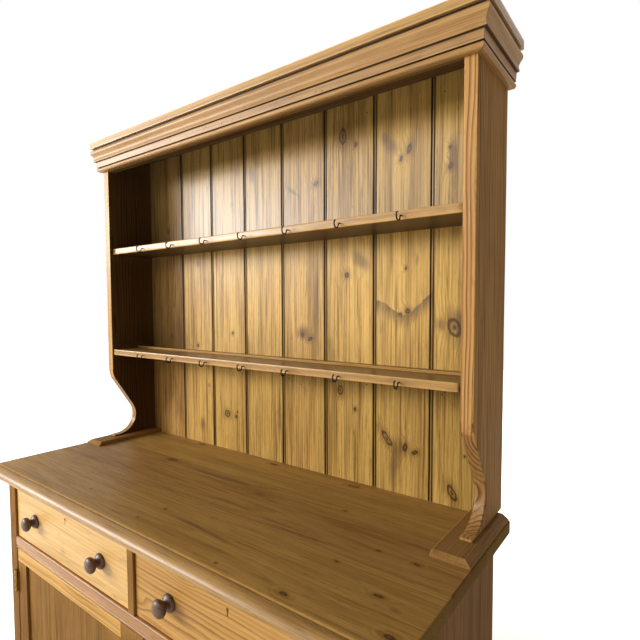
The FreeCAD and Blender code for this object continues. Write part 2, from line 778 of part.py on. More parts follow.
def rack_end():
    """A rack end: straight above, scooped to an ogee at its foot, rebated for the back boards."""
    slope = math.radians(rack_scoop_slope)
    x = rack_inner_x
    toe_z = foot_top + rack_toe_height
    centre_y = rack_front_y + rack_scoop_depth - rack_scoop_radius
    centre_z = toe_z + rack_scoop_radius
    scoop_top = scoop_point(centre_y, centre_z, slope)
    scoop_back = scoop_point(centre_y, centre_z, 0)
    scoop_foot = scoop_point(centre_y, centre_z, -math.pi / 2)
    meet_z = scoop_top.z + (scoop_top.y - rack_front_y) / math.tan(slope)
    tangent = rack_shoulder_radius * math.tan(slope / 2)
    shoulder_foot = Vector(x, rack_front_y + tangent * math.sin(slope), meet_z - tangent * math.cos(slope))
    shoulder_head = Vector(x, rack_front_y, meet_z + tangent)
    shoulder_middle = Vector(x, rack_front_y + rack_shoulder_radius * (1 - math.cos(slope / 2)),
                             shoulder_head.z - rack_shoulder_radius * math.sin(slope / 2))
    corner = [Vector(x, rack_front_y, cap_bottom), Vector(x, rack_rear_y, cap_bottom),
              Vector(x, rack_rear_y, foot_top), Vector(x, rack_front_y, foot_top),
              Vector(x, rack_front_y, toe_z)]
    low_middle = scoop_point(centre_y, centre_z, -math.pi / 4)
    high_middle = scoop_point(centre_y, centre_z, slope / 2)
    edges = [line(corner[0], corner[1]), line(corner[1], corner[2]), line(corner[2], corner[3]),
             line(corner[3], corner[4]), line(corner[4], scoop_foot), arc(scoop_foot, low_middle, scoop_back),
             arc(scoop_back, high_middle, scoop_top), line(scoop_top, shoulder_foot),
             arc(shoulder_foot, shoulder_middle, shoulder_head), line(shoulder_head, corner[0])]
    return extrude(edges, Vector(rack_end_thickness, 0, 0))


def scoop_point(centre_y, centre_z, angle):
    """A point of the scoop, at an angle from straight back."""
    return Vector(rack_inner_x, centre_y + math.cos(angle) * rack_scoop_radius,
                  centre_z + math.sin(angle) * rack_scoop_radius)


def rack_foot():
    """A sledge foot bevelled along its front and, more broadly, its outer edge, with a small arris inside."""
    x0 = rack_inner_x - foot_inner_width
    x1 = case_half + foot_outer_width
    y0 = rack_front_y - foot_reach
    foot = block(x0, x1, y0, counter_rear_y, counter_height, foot_top)
    low = foot_top - foot_bevel_drop
    side_waste = prism([Vector(x1, y0 - overrun, low), Vector(x1, y0 - overrun, foot_top),
                        Vector(x1 - foot_side_bevel, y0 - overrun, foot_top)],
                       Vector(0, counter_rear_y - y0 + 2 * overrun, 0))
    front_waste = prism([Vector(x0 - overrun, y0, low), Vector(x0 - overrun, y0 + foot_front_bevel, foot_top),
                         Vector(x0 - overrun, y0, foot_top)], Vector(x1 - x0 + 2 * overrun, 0, 0))
    arris_waste = prism([Vector(x0, y0 - overrun, foot_top - foot_arris), Vector(x0, y0 - overrun, foot_top),
                         Vector(x0 + foot_arris, y0 - overrun, foot_top)],
                        Vector(0, counter_rear_y - y0 + 2 * overrun, 0))
    return foot.cut([side_waste, front_waste, arris_waste])


def shelf_board(top, thickness, setback):
    """A rack shelf, let into both ends, with the holes that its cup hooks screw into."""
    half = rack_inner_x + shelf_housing
    edge_y = rack_front_y + setback
    board = block(-half, half, edge_y, backboard_y, counter_height + top - thickness, counter_height + top)
    holes = []
    for x in hook_places():
        section = wire_section(x, edge_y, hook_level(top, thickness))
        holes.append(prism(section, Vector(0, hook_screw_length, 0)))
    return board.cut(holes)


def build_rack():
    lower = shelf_board(lower_shelf_top, lower_shelf_thickness, lower_shelf_setback)
    upper = shelf_board(upper_shelf_top, upper_shelf_thickness, upper_shelf_setback)
    save("lower_shelf", lower)
    save("upper_shelf", upper)
    dust = block(-backboard_edge_x, backboard_edge_x, rack_front_y + frieze_thickness, backboard_y,
                 cap_bottom - dust_board_thickness, cap_bottom)
    save("dust_board", dust)
    backs = block(-backboard_edge_x, backboard_edge_x, backboard_y, rack_rear_y + overrun,
                  counter_height, rack_top)
    end = rack_end().cut([lower, upper, dust, backs])
    save("rack_end_right", end)
    save("rack_end_left", mirrored(end))
    foot = rack_foot()
    save("rack_feet", foot, mirrored(foot))
    save("frieze_rail", block(-rack_inner_x, rack_inner_x, rack_front_y, rack_front_y + frieze_thickness,
                              cornice_bottom - frieze_lap, cap_bottom))

    strips = []
    strip_y = backboard_y - plate_strip_from_back - plate_strip_width
    for top in (lower_shelf_top, upper_shelf_top):
        z = counter_height + top
        strips.append(block(-rack_inner_x, rack_inner_x, strip_y, strip_y + plate_strip_width,
                            z, z + plate_strip_height))
    save("plate_strips", *strips)

    joints = [backboard_joint_offset + backboard_pitch * (index - backboard_count // 2)
              for index in range(1, backboard_count)]
    edges = [-backboard_edge_x] + joints + [backboard_edge_x]
    boards = []
    for index in range(backboard_count):
        boards.append(matched_board(edges[index], edges[index + 1], backboard_y, backboard_thickness,
                                    bead_radius, index > 0, index < backboard_count - 1,
                                    counter_height, cap_bottom).cut([foot, mirrored(foot)]))
    save("rack_backboards", *boards)


# Mouldings that return round both ends

def polygon_section(corners):
    """A section of straight edges, from (reach, height) corners."""
    def build(z):
        return [line(Vector(0, -a[0], z + a[1]), Vector(0, -b[0], z + b[1]))
                for a, b in zip(corners, corners[1:] + corners[:1])]
    return build


def mitred_set(section, reach, front_y, rear_y, low):
    """A moulding run along the front and both ends, cut to mitres at the corners: front, right and left."""
    half = case_half
    length = 2 * (half + reach)
    low_z = low - overrun
    tall = Vector(0, 0, rack_height + counter_height)
    run = extrude(section(low), Vector(length, 0, 0))
    run.translate(Vector(-half - reach, front_y, 0))
    trapezium = [Vector(-half, front_y, low_z), Vector(-half - reach, front_y - reach, low_z),
                 Vector(half + reach, front_y - reach, low_z), Vector(half, front_y, low_z)]
    front = run.common(prism(trapezium, tall))

    back_run = extrude(section(low), Vector(rear_y - front_y + reach, 0, 0))
    back_run.rotate(Vector(0, 0, 0), Vector(0, 0, 1), 90)
    back_run.translate(Vector(half, front_y - reach, 0))
    wedge = [Vector(half, front_y, low_z), Vector(half + reach, front_y - reach, low_z),
             Vector(half + reach, rear_y, low_z), Vector(half, rear_y, low_z)]
    right = back_run.common(prism(wedge, tall))
    return front, right, mirrored(right)


def cornice_section(z):
    """Bead, fascia, fillet, ogee and a shadow groove, from the bottom up."""
    def at(reach, height):
        return Vector(0, -reach, z + height)

    def on_ogee(reach, share):
        return at(reach, ogee_foot + ogee_height * share)

    bead = cornice_bead_radius
    bead_foot = cornice_bead_reach - bead
    fascia_foot = 2 * bead + cornice_quirk
    ogee_foot = fillet_foot + fillet_height
    foot = on_ogee(fillet_reach, 0)
    hollow = on_ogee(ogee_hollow_reach, ogee_hollow_share)
    middle = on_ogee((ogee_hollow_reach + ogee_swell_reach) / 2, ogee_middle_share)
    swell = on_ogee(ogee_swell_reach, ogee_swell_share)
    head = on_ogee(ogee_head_reach, 1)
    step = on_ogee(groove_reach, 1)
    return [
        line(at(0, 0), at(bead_foot, 0)),
        arc(at(bead_foot, 0), at(cornice_bead_reach, bead), at(bead_foot, 2 * bead)),
        line(at(bead_foot, 2 * bead), at(bead_foot, fascia_foot)),
        line(at(bead_foot, fascia_foot), at(fascia_foot_reach, fascia_foot)),
        line(at(fascia_foot_reach, fascia_foot), at(fascia_head_reach, fillet_foot)),
        line(at(fascia_head_reach, fillet_foot), at(fillet_reach, fillet_foot)),
        line(at(fillet_reach, fillet_foot), foot),
        arc(foot, hollow, middle),
        arc(middle, swell, head),
        line(head, step),
        line(step, at(groove_reach, moulding_height)),
        line(at(groove_reach, moulding_height), at(0, moulding_height)),
        line(at(0, moulding_height), at(0, 0)),
    ]


def build_cornice():
    front, right, left = mitred_set(cornice_section, cornice_cap_reach, rack_front_y, rack_rear_y,
                                    cornice_bottom)
    save("cornice_front", front)
    save("cornice_returns", right, left)

    inner = cornice_cap_width - cornice_cap_reach
    half = case_half
    outer_x = half + cornice_cap_reach
    outer_y = rack_front_y - cornice_cap_reach
    inner_x = half - inner
    inner_y = rack_front_y + inner
    up = Vector(0, 0, cornice_cap_height)
    cap_front = prism([Vector(-inner_x, inner_y, cap_bottom), Vector(-outer_x, outer_y, cap_bottom),
                       Vector(outer_x, outer_y, cap_bottom), Vector(inner_x, inner_y, cap_bottom)], up)
    cap_right = prism([Vector(inner_x, inner_y, cap_bottom), Vector(outer_x, outer_y, cap_bottom),
                       Vector(outer_x, rack_rear_y, cap_bottom),
                       Vector(inner_x, rack_rear_y, cap_bottom)], up)
    save("cornice_cap", cap_front, cap_right, mirrored(cap_right))


# Cup hooks

def cup_hook(x, edge_y, z):
    """A wire cup hook: a shank screwed into the shelf's edge, a tight bend, the loop and a curled tip."""
    bend_centre = (edge_y - hook_neck, z - hook_bend_radius)
    loop_centre = (bend_centre[0] - hook_bend_radius - hook_loop_radius, bend_centre[1])
    tip_y = loop_centre[0] - hook_loop_radius
    curl_centre = (tip_y + hook_curl_radius, loop_centre[1] + hook_rise)
    points = [Vector(x, edge_y + hook_screw_length, z)]
    points += bent(x, bend_centre, hook_bend_radius, 90, 180, hook_bend_steps)
    points += bent(x, loop_centre, hook_loop_radius, 0, -180, hook_loop_steps)[1:]
    points += bent(x, curl_centre, hook_curl_radius, 180, 180 - hook_curl_angle, hook_curl_steps)
    path = Part.makePolygon(points)
    sharp_corners = 1
    section = wire_section(x, edge_y + hook_screw_length, z)
    return path.makePipeShell([Part.makePolygon(section + section[:1])], True, False, sharp_corners)


def bent(x, centre, radius, start, end, steps):
    """Points along a bend in an upright plane, where 0 degrees points back and 90 degrees up."""
    points = []
    for step in range(steps + 1):
        angle = math.radians(start + (end - start) * step / steps)
        points.append(Vector(x, centre[0] + radius * math.cos(angle), centre[1] + radius * math.sin(angle)))
    return points


def wire_section(x, y, z):
    """The wire's section, drawn with a few flats because the hooks are small and many."""
    return ring(hook_wire_radius, hook_wire_sides, Vector(x, y, z), Vector(1, 0, 0), Vector(0, 0, 1))


def hook_places():
    """Along the shelf, the middle hook a little to the right of its middle."""
    first = hook_offset - hook_pitch * (hook_count - 1) / 2
    return [first + hook_pitch * index for index in range(hook_count)]


def hook_level(shelf_top, thickness):
    """A little above the lower arris of the shelf's edge."""
    return counter_height + shelf_top - thickness + hook_lift


def build_hooks(name, shelf_top, thickness, setback):
    edge_y = rack_front_y + setback
    z = hook_level(shelf_top, thickness)
    save(name, *[cup_hook(x, edge_y, z) for x in hook_places()])


def unchanged(shape):
    return shape


os.makedirs("parts", exist_ok=True)
build_face_frame()
build_carcase()
build_plinth()
build_runners()
build_counter()
build_drawer("right", unchanged)
build_drawer("left", mirrored)
build_fixed_hinges()
build_door("right", unchanged)
build_door("left", mirrored)
build_rack()
build_cornice()
build_hooks("lower_cup_hooks", lower_shelf_top, lower_shelf_thickness, lower_shelf_setback)
build_hooks("upper_cup_hooks", upper_shelf_top, upper_shelf_thickness, upper_shelf_setback)
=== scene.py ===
import json
import math
import random

import bmesh
import bpy
from bpy.props import FloatProperty, FloatVectorProperty, IntProperty, PointerProperty
from mathutils import Matrix, Vector, noise


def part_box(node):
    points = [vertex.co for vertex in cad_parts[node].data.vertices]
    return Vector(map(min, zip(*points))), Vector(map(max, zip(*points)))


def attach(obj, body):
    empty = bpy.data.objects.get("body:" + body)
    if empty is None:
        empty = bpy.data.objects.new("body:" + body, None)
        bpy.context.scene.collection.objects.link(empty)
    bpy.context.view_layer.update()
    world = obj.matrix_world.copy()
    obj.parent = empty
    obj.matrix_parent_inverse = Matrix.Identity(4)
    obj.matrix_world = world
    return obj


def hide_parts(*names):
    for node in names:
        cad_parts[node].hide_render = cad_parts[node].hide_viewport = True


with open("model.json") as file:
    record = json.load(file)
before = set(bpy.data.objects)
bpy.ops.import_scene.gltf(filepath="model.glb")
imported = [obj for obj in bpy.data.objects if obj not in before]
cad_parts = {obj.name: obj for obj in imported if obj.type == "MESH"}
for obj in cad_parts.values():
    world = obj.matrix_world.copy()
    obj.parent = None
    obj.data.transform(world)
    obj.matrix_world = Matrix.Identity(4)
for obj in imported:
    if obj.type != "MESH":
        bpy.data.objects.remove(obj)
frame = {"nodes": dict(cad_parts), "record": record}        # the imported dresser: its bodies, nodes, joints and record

bl_info = {
    "name": "Pine dresser",
    "version": (1, 0, 0),
    "blender": (4, 5, 0),
    "location": "3D View > Sidebar > Dresser",
    "description": "Dresses the packed frame of a waxed pine dresser in finished boards, knobs and hooks",
    "category": "Add Mesh",
}

mm = 0.001
wobble_seed = 1          # so that the planed faces wobble alike in every run
bodies_of_nodes = {node: body for body, nodes in frame["record"]["behaviour"]["bodies"].items()
                   for node in nodes}
slots_of_nodes = {part["node"]: part["material_slot"] for part in frame["record"]["subparts"]}


def linear(code):
    """An sRGB hex colour as linear red, green, blue and full alpha."""
    channels = []
    for start in (1, 3, 5):
        value = int(code[start:start + 2], 16) / 255
        channels.append(value / 12.92 if value <= 0.04045 else ((value + 0.055) / 1.055) ** 2.4)
    return (*channels, 1.0)


def colour(name, description, code):
    return FloatVectorProperty(name=name, description=description, subtype="COLOR", size=4, min=0, max=1,
                               default=linear(code))


def length(name, description, value):
    return FloatProperty(name=name, description=description, subtype="DISTANCE", unit="LENGTH", min=0,
                         precision=4, default=value)


class DresserSizes(bpy.types.PropertyGroup):
    """Sizes of the finish and of what the frame leaves plain, in metres."""
    ease: length("Eased arris", "Radius that wear and wax leave on a board's edges", 1.3 * mm)
    soft_ease: length("Worn arris", "Radius on the edges that hands touch most", 2.4 * mm)
    wear_margin: length("Wear margin", "How far the wear of an arris reaches onto the face", 4 * mm)
    wobble: length("Wobble", "How far hand planing leaves a face from true", 0.4 * mm)
    wobble_length: length("Wobble length", "Distance from one rise of a planed face to the next", 70 * mm)
    station: length("Station", "Distance between the cross sections of a long board", 30 * mm)
    tongue: length("Tongue", "How far a matched board's tongue stands out", 4.8 * mm)
    tongue_thickness: length("Tongue thickness", "Thickness of a matched board's tongue", 6 * mm)
    bead: length("Bead radius", "Radius of the bead on a matched board", 2.8 * mm)
    quirk: length("Quirk", "Width of the groove beside a bead", 2.4 * mm)
    quirk_depth: length("Quirk depth", "Depth of the groove beside a bead", 4 * mm)
    joint_round: length("Joint round", "How far a matched board's plain edge is worn away", 2.4 * mm)
    thumb_width: length("Thumb moulding", "Width of the moulding along the counter's front", 24 * mm)
    thumb_step: length("Thumb step", "Step down from the counter to its moulding", 3 * mm)
    thumb_foot: length("Thumb foot", "Small splay under the counter's moulding", 3 * mm)
    shelf_corner: length("Shelf corner", "How far the lower shelf's right front corner is worn back", 8 * mm)
    bead_reach: length("Cornice bead reach", "How far the cornice's bead stands out", 16 * mm)
    bead_round: length("Cornice bead radius", "Radius of the bead at the cornice's foot", 6 * mm)
    bead_quirk: length("Cornice quirk", "Height of the groove over the cornice's bead", 1.5 * mm)
    fascia_foot: length("Fascia foot", "How far the foot of the cornice's fascia stands out", 15.5 * mm)
    fascia_head: length("Fascia head", "How far the head of the cornice's fascia stands out", 16.5 * mm)
    fascia_height: length("Fascia height", "Height of the cornice's fascia", 18 * mm)
    fillet_reach: length("Fillet reach", "How far the cornice's fillet stands out", 22 * mm)
    fillet_height: length("Fillet height", "Height of the cornice's fillet", 5 * mm)
    hollow_reach: length("Ogee hollow", "Reach of the cornice's ogee where it is hollow", 20.9 * mm)
    swell_reach: length("Ogee swell", "Reach of the cornice's ogee where it swells", 29 * mm)
    ogee_head: length("Ogee head", "Reach of the cornice's ogee at its head", 26.5 * mm)
    ogee_height: length("Ogee height", "Height of the cornice's ogee", 30 * mm)
    cap_width: length("Cap width", "Width of the board that caps the cornice", 62 * mm)
    hook_wire: length("Hook wire", "Radius of the wire of a cup hook", 1.6 * mm)
    hook_neck: length("Hook neck", "Straight stretch of a cup hook out of the shelf", 4 * mm)
    hook_bend: length("Hook bend", "Radius of a cup hook's bend under its neck", 2.5 * mm)
    hook_loop: length("Hook loop", "Radius of a cup hook's loop", 8 * mm)
    hook_rise: length("Hook rise", "Straight stretch of a cup hook over its loop", 3 * mm)
    hook_curl: length("Hook curl", "Radius of the curl at a cup hook's tip", 5 * mm)
    nail: length("Nail", "Radius of a nail's head", 1.7 * mm)
    knob_foot: length("Knob foot", "Radius of a knob's foot on the drawer", 18.5 * mm)
    knob_waist: length("Knob waist", "Radius of a knob's waist", 9 * mm)
    knob_sides: IntProperty(name="Knob sides", description="Facets round a turned knob", default=48, min=12)


class DresserColours(bpy.types.PropertyGroup):
    """Colours of the wood, the wax and the metal."""
    golden_early: colour("Golden early wood", "Pale wood of the rack's back boards", "#D8AB5C")
    golden_late: colour("Golden late wood", "Dark lines of the rack's back boards", "#6E451B")
    drawer_early: colour("Drawer early wood", "Pale wood of the right drawer's front", "#C99A50")
    drawer_late: colour("Drawer late wood", "Dark lines of the drawer fronts", "#744410")
    clear_early: colour("Clear early wood", "Pale wood of the left drawer's front", "#D6AA68")
    clear_late: colour("Clear late wood", "Dark lines of the left drawer's front", "#8C5C26")
    honey_early: colour("Honey early wood", "Pale wood of the rack's shelves", "#BE904E")
    honey_late: colour("Honey late wood", "Dark lines of the rack's shelves", "#6C4114")
    end_early: colour("End early wood", "Pale wood of the rack's ends", "#CE9C58")
    end_late: colour("End late wood", "Dark lines of the rack's ends", "#663A10")
    cornice_early: colour("Cornice early wood", "Pale wood of the cornice", "#BE9052")
    cornice_late: colour("Cornice late wood", "Dark lines of the cornice", "#704616")
    counter_early: colour("Counter early wood", "Pale wood of the counter", "#AA8144")
    counter_late: colour("Counter late wood", "Dark lines of the counter", "#6A4317")
    case_early: colour("Case early wood", "Pale wood of the base", "#AC7C40")
    case_late: colour("Case late wood", "Dark lines of the base", "#6A4014")
    raw_early: colour("Bare early wood", "Pale wood inside the base", "#CBA777")
    raw_late: colour("Bare late wood", "Dark lines inside the base", "#9C7645")
    stain: colour("Stain", "Grey brown of old stains and faint knots", "#644A30")
    knot: colour("Knot", "Heart of a knot", "#3E2410")
    # The grime colour darkens old wax and dust in grooves and corners, and it is also the painted shade on shaded
    # faces: the rack ends' inner faces, the shelves' undersides, the frieze under the cornice and parts of the back
    # boards.
    grime: colour("Grime", "Old wax and dust in grooves and corners", "#1E0F06")
    knob_wood: colour("Knob wood", "Stained wood of the turned knobs", "#6E4A2C")
    knob_dark: colour("Knob grain", "Dark grain of the turned knobs", "#33200F")
    iron: colour("Iron", "Blackened iron of hooks, nails and latches", "#211D1A")
    brass: colour("Brass", "Aged brass of hinges and lock bolts", "#9C7A3C")
    floor: colour("Floor", "Pale plain floor", "#F2F1EF")


# Knots of the back boards: place across and up, half width, half height (mm) and tilt (degrees)
ringed_knots = (
    (229, 1740, 9, 19, 0), (357, 989, 7, 19, 40), (522, 892, 8, 17, 28), (220, 1093, 8, 11, 0),
    (524, 1264, 13, 20, 26), (-211, 973, 11, 10, 0),
)
dark_knots = (
    (413, 1674, 7, 13, -14), (266, 1713, 4, 6, 0), (512, 1617, 6, 8, -30), (510, 1658, 3, 4, 0),
    (392, 1655, 4, 7, -20), (143, 1635, 9, 7, 30), (411, 1300, 7, 7, 0), (392, 1292, 5, 4, 0),
    (240, 1392, 7, 8, 0), (94, 1234, 6, 7, 0), (121, 1223, 9, 6, 20), (-182, 1228, 4, 5, 0),
    (-349, 1183, 5, 6, 0), (406, 975, 7, 11, -8), (431, 967, 8, 5, 24), (-171, 969, 5, 6, 0),
    (266, 1048, 4, 5, 0), (550, 981, 2.5, 2.5, 0), (-165, 985, 3, 3, 0), (405, 1400, 3, 4, 0),
)
faint_knots = (
    (-180, 1622, 8, 9, 0), (-497, 1572, 8, 10, 0), (-342, 1451, 9, 12, 0), (-473, 1316, 6, 9, 0),
    (-297, 1056, 8, 8, 0), (349, 1712, 9, 13, 20), (435, 1418, 4, 14, 0), (-490, 1210, 8, 12, 0),
)
# Brown stains of the back boards, written alike: smudges and long streaks
back_board_stains = (
    (282, 1425, 34, 17, -40), (540, 1278, 20, 34, 30), (492, 1270, 12, 16, 0), (365, 1690, 28, 16, -50),
    (60, 1628, 30, 6, -35), (515, 1640, 9, 40, 0), (142, 1325, 12, 150, 0), (8, 994, 8, 70, 0),
    (-333, 922, 12, 26, 0), (-95, 1697, 16, 26, 20), (380, 940, 14, 60, -8), (98, 1240, 26, 20, 0),
)
back_board_chart = ("Z", ringed_knots, dark_knots, faint_knots, back_board_stains)
# The stain like two wings from a knot: places across of left tip, knot and right tip, then their heights
wings = (330, 404, 472, 1326, 1292, 1346)
# Marks of the counter, written alike, seen from above with the rear up: worm holes and pin knots among them
counter_ringed_knots = ((-264, 73, 15, 6, 0), (280, 214, 14, 4, 0))
counter_dark_knots = (
    (553, -142, 9, 4, 12),
    (-315, 225, 13, 4, 0), (5, 219, 14, 4, 0), (429, -226, 8, 4, 0), (611, -213, 9, 5, 0),
    (10, -147, 3.5, 3, 0), (-3, -207, 3, 3, 0), (-241, -184, 3, 3, 0), (274, -229, 3, 3, 0),
    (341, 83, 5, 2.5, 0), (484, -22, 4, 2.5, 0), (443, -97, 4, 2.5, 0), (562, -23, 6, 3, 0),
)
counter_faint_knots = ((590, -158, 11, 5, 0), (120, 40, 16, 7, 0), (-120, 150, 14, 5, 0))
counter_stains = ((150, -160, 110, 6, -4), (-60, 60, 130, 7, 0), (330, -60, 90, 5, 2))
counter_chart = ("Y", counter_ringed_knots, counter_dark_knots, counter_faint_knots, counter_stains)
# Nails of the back boards: place across and up (mm)
back_board_nails = (
    (-332, 1777), (-257, 1795), (-141, 1790), (20, 1786), (300, 1782), (497, 1780), (299, 1115), (342, 1118),
    (497, 1112), (-250, 1105), (-143, 1107), (45, 1108), (88, 1096), (-470, 1108), (-395, 1110), (190, 1112),
)
# Nails of the cornice: place across and up (mm) on the fascia
cornice_nails = ((-455, 1778), (-239, 1780), (-88, 1783), (-26, 1777), (41, 1777), (276, 1778), (292, 1775))


# Nodes of a material

soft_step = {"interpolation_type": "SMOOTHSTEP"}


def add(tree, kind, inputs=None, **settings):
    """Adds a node with its settings, its input values and its links. A node given as a value means its first
    output."""
    node = tree.nodes.new("ShaderNode" + kind)
    for name, value in settings.items():
        setattr(node, name, value)
    for name, value in (inputs or {}).items():
        if isinstance(value, bpy.types.Node):
            value = value.outputs[0]
        if isinstance(value, bpy.types.NodeSocket):
            tree.links.new(value, node.inputs[name])
        else:
            node.inputs[name].default_value = value
    return node


def new_material(name):
    """A material with nothing in it yet, and its node tree."""
    material = bpy.data.materials.new(name)
    material.use_nodes = True
    material.node_tree.nodes.clear()
    return material, material.node_tree


def times_bright(tint, times):
    """A colour so many times as bright, and no brighter than white."""
    return [min(1.0, channel * times) for channel in tint[:3]] + [1.0]


knot_merge = 0.6                      # how soon two marks grow together, in their own radii
knot_cell = (120.0, 260.0, 7.0)       # a scattered knot's room across and along, and its radius (mm)
far_away = 50.0                       # added to the distance where a cell holds no knot
stir, stirs_per_mm = 8.0, 0.06        # how far charted marks are pushed (mm), and how closely it changes
trunk_sway = 34.0                     # how far the heart wanders along the trunk (mm)
trunk_lean = 0.012                    # how far it leans, per millimetre of trunk
ring_waves = 4.5                      # depth of the small waves of a ring (mm)
knot_push = 11.0                      # how far a knot pushes the rings aside (mm)


def ellipse_field(tree, plane, ellipses):
    """The distance to the nearest of some ellipses, in their own radii, with no crease between them."""
    nearest = None
    for across, up, half_width, half_height, tilt in ellipses:
        local = add(tree, "Mapping", {"Vector": plane, "Location": (across, up, 0),
                                      "Rotation": (0, 0, math.radians(tilt)),
                                      "Scale": (half_width, half_height, 1)}, vector_type="TEXTURE")
        distance = add(tree, "VectorMath", {0: local}, operation="LENGTH").outputs["Value"]
        if nearest is None:
            nearest = distance
        else:
            nearest = add(tree, "Math", {0: nearest, 1: distance, 2: knot_merge}, operation="SMOOTH_MIN")
    return nearest


def scattered_field(tree, grain, share):
    """The distance to scattered knots, in their own radii; only a share of the cells holds one."""
    across, along, core = knot_cell
    cells = add(tree, "Mapping", {"Vector": grain, "Scale": (1 / across, 0, 1 / along)})
    knots = add(tree, "TexVoronoi", {"Vector": cells, "Scale": 1.0}, voronoi_dimensions="3D")
    radii = add(tree, "Math", {0: knots.outputs["Distance"], 1: core / across}, operation="DIVIDE")
    chance = add(tree, "SeparateColor", {0: knots.outputs["Color"]})
    empty = add(tree, "Math", {0: chance, 1: share}, operation="GREATER_THAN")
    return add(tree, "Math", {0: empty, 1: far_away, 2: radii}, operation="MULTIPLY_ADD")


def chart_plane(tree, grain, upward):
    """Places on a face, across and up in millimetres, stirred a little so that no mark is a true ellipse."""
    parts = add(tree, "SeparateXYZ", {0: add(tree, "TexCoord").outputs["Object"]})
    flat = add(tree, "CombineXYZ", {0: parts.outputs["X"], 1: parts.outputs[upward]})
    swirl = add(tree, "TexNoise", {"Vector": grain, "Scale": stirs_per_mm, "Detail": 3.0}).outputs["Color"]
    plane = add(tree, "Mapping", {"Vector": flat, "Location": (-stir / 2, -stir / 2, 0.0),
                                  "Scale": (1 / mm, 1 / mm, 1.0)})
    return add(tree, "VectorMath", {0: swirl, 1: (stir, stir, 0.0), 2: plane}, operation="MULTIPLY_ADD")


def log_noise(tree, grain, across, along, detail, distortion=0.0):
    """Noise drawn out along the log: across and along are the millimetres from one patch to the next."""
    scaled = add(tree, "Mapping", {"Vector": grain, "Scale": (1 / across, 1 / across, 1 / along)})
    return add(tree, "TexNoise", {"Vector": scaled, "Scale": 1.0, "Detail": detail, "Roughness": 0.6,
                                  "Distortion": distortion})


def growth_rings(tree, grain, knot, ring_width):
    """The dark lines of the yearly rings where a face meets them, from 0, pale, to 1. Each year's line
    darkens slowly and ends at once. The trunk sways and leans, and knots push the rings aside."""
    swayed = add(tree, "VectorMath", {0: log_noise(tree, grain, 120.0, 620.0, 2.0).outputs["Color"],
                                      1: (trunk_sway, trunk_sway, 0.0), 2: grain}, operation="MULTIPLY_ADD")
    flat = add(tree, "VectorMath", {0: swayed, 1: (1.0, 1.0, 0.0)}, operation="MULTIPLY")
    radius = add(tree, "VectorMath", {0: flat}, operation="LENGTH").outputs["Value"]
    waves = log_noise(tree, grain, 16.0, 240.0, 3.0)
    along = add(tree, "SeparateXYZ", {0: grain}).outputs["Z"]
    beside_knot = add(tree, "MapRange", {"Value": knot, "From Min": 4.5, "From Max": 0.6}, **soft_step)
    for field, amount in ((waves, ring_waves), (along, trunk_lean), (beside_knot, knot_push)):
        radius = add(tree, "Math", {0: field, 1: amount, 2: radius}, operation="MULTIPLY_ADD")
    turns = add(tree, "Math", {0: radius, 1: ring_width}, operation="DIVIDE")
    phase = add(tree, "Math", {0: turns}, operation="FRACT")
    year = add(tree, "Math", {0: turns}, operation="FLOOR")
    chance = add(tree, "TexWhiteNoise", {"W": year}, noise_dimensions="1D").outputs["Value"]
    rings = add(tree, "Math", {0: chance, 1: 0.6, 2: 0.4}, operation="MULTIPLY_ADD")
    for low, high in ((0.35, 0.93), (1.0, 0.94)):
        edge = add(tree, "MapRange", {"Value": phase, "From Min": low, "From Max": high}, **soft_step)
        rings = add(tree, "Math", {0: rings, 1: edge}, operation="MULTIPLY")
    return rings


def laid(tree, wood, layers):
    """Lays tints on the wood, each thicker as its field goes from low to high, up to its amount."""
    for field, low, high, amount, tint in layers:
        share = add(tree, "MapRange", {"Value": field, "From Min": low, "From Max": high}, **soft_step)
        share = add(tree, "Math", {0: share, 1: amount}, operation="MULTIPLY")
        wood = add(tree, "Mix", {0: share, 6: wood, 7: tint}, data_type="RGBA").outputs[2]
    return wood


def winged(tree, wood, plane, threads):
    """A stain like two wings from a knot: a sharp edge above that fades downwards, on its own board."""
    left, knot_place, right, left_height, knot_height, right_height = wings
    parts = add(tree, "SeparateXYZ", {0: plane})
    across, up = parts.outputs["X"], parts.outputs["Y"]
    falling = add(tree, "MapRange", {"Value": across, "From Min": left, "From Max": knot_place,
                                     "To Min": left_height, "To Max": knot_height}, **soft_step)
    rising = add(tree, "MapRange", {"Value": across, "From Min": knot_place + 8, "From Max": right,
                                    "To Min": 0.0, "To Max": right_height - knot_height})
    edge = add(tree, "Math", {0: falling, 1: rising}, operation="ADD")
    under = add(tree, "Math", {0: edge, 1: up}, operation="SUBTRACT")
    spread = 1.0
    for field, low, high, least, most in (
            (under, -1.5, 2.5, 0.0, 1.0), (under, 46.0, 4.0, 0.0, 1.0),
            (across, left - 5, left - 2, 0.0, 1.0), (across, right + 4, right + 1, 0.0, 1.0),
            (threads, 0.62, 0.4, 0.3, 0.8)):
        share = add(tree, "MapRange", {"Value": field, "From Min": low, "From Max": high, "To Min": least,
                                       "To Max": most}, **soft_step)
        spread = add(tree, "Math", {0: spread, 1: share}, operation="MULTIPLY")
    stain = bpy.context.scene.dresser_colours.stain
    return add(tree, "Mix", {0: spread, 6: wood, 7: stain}, data_type="RGBA").outputs[2]


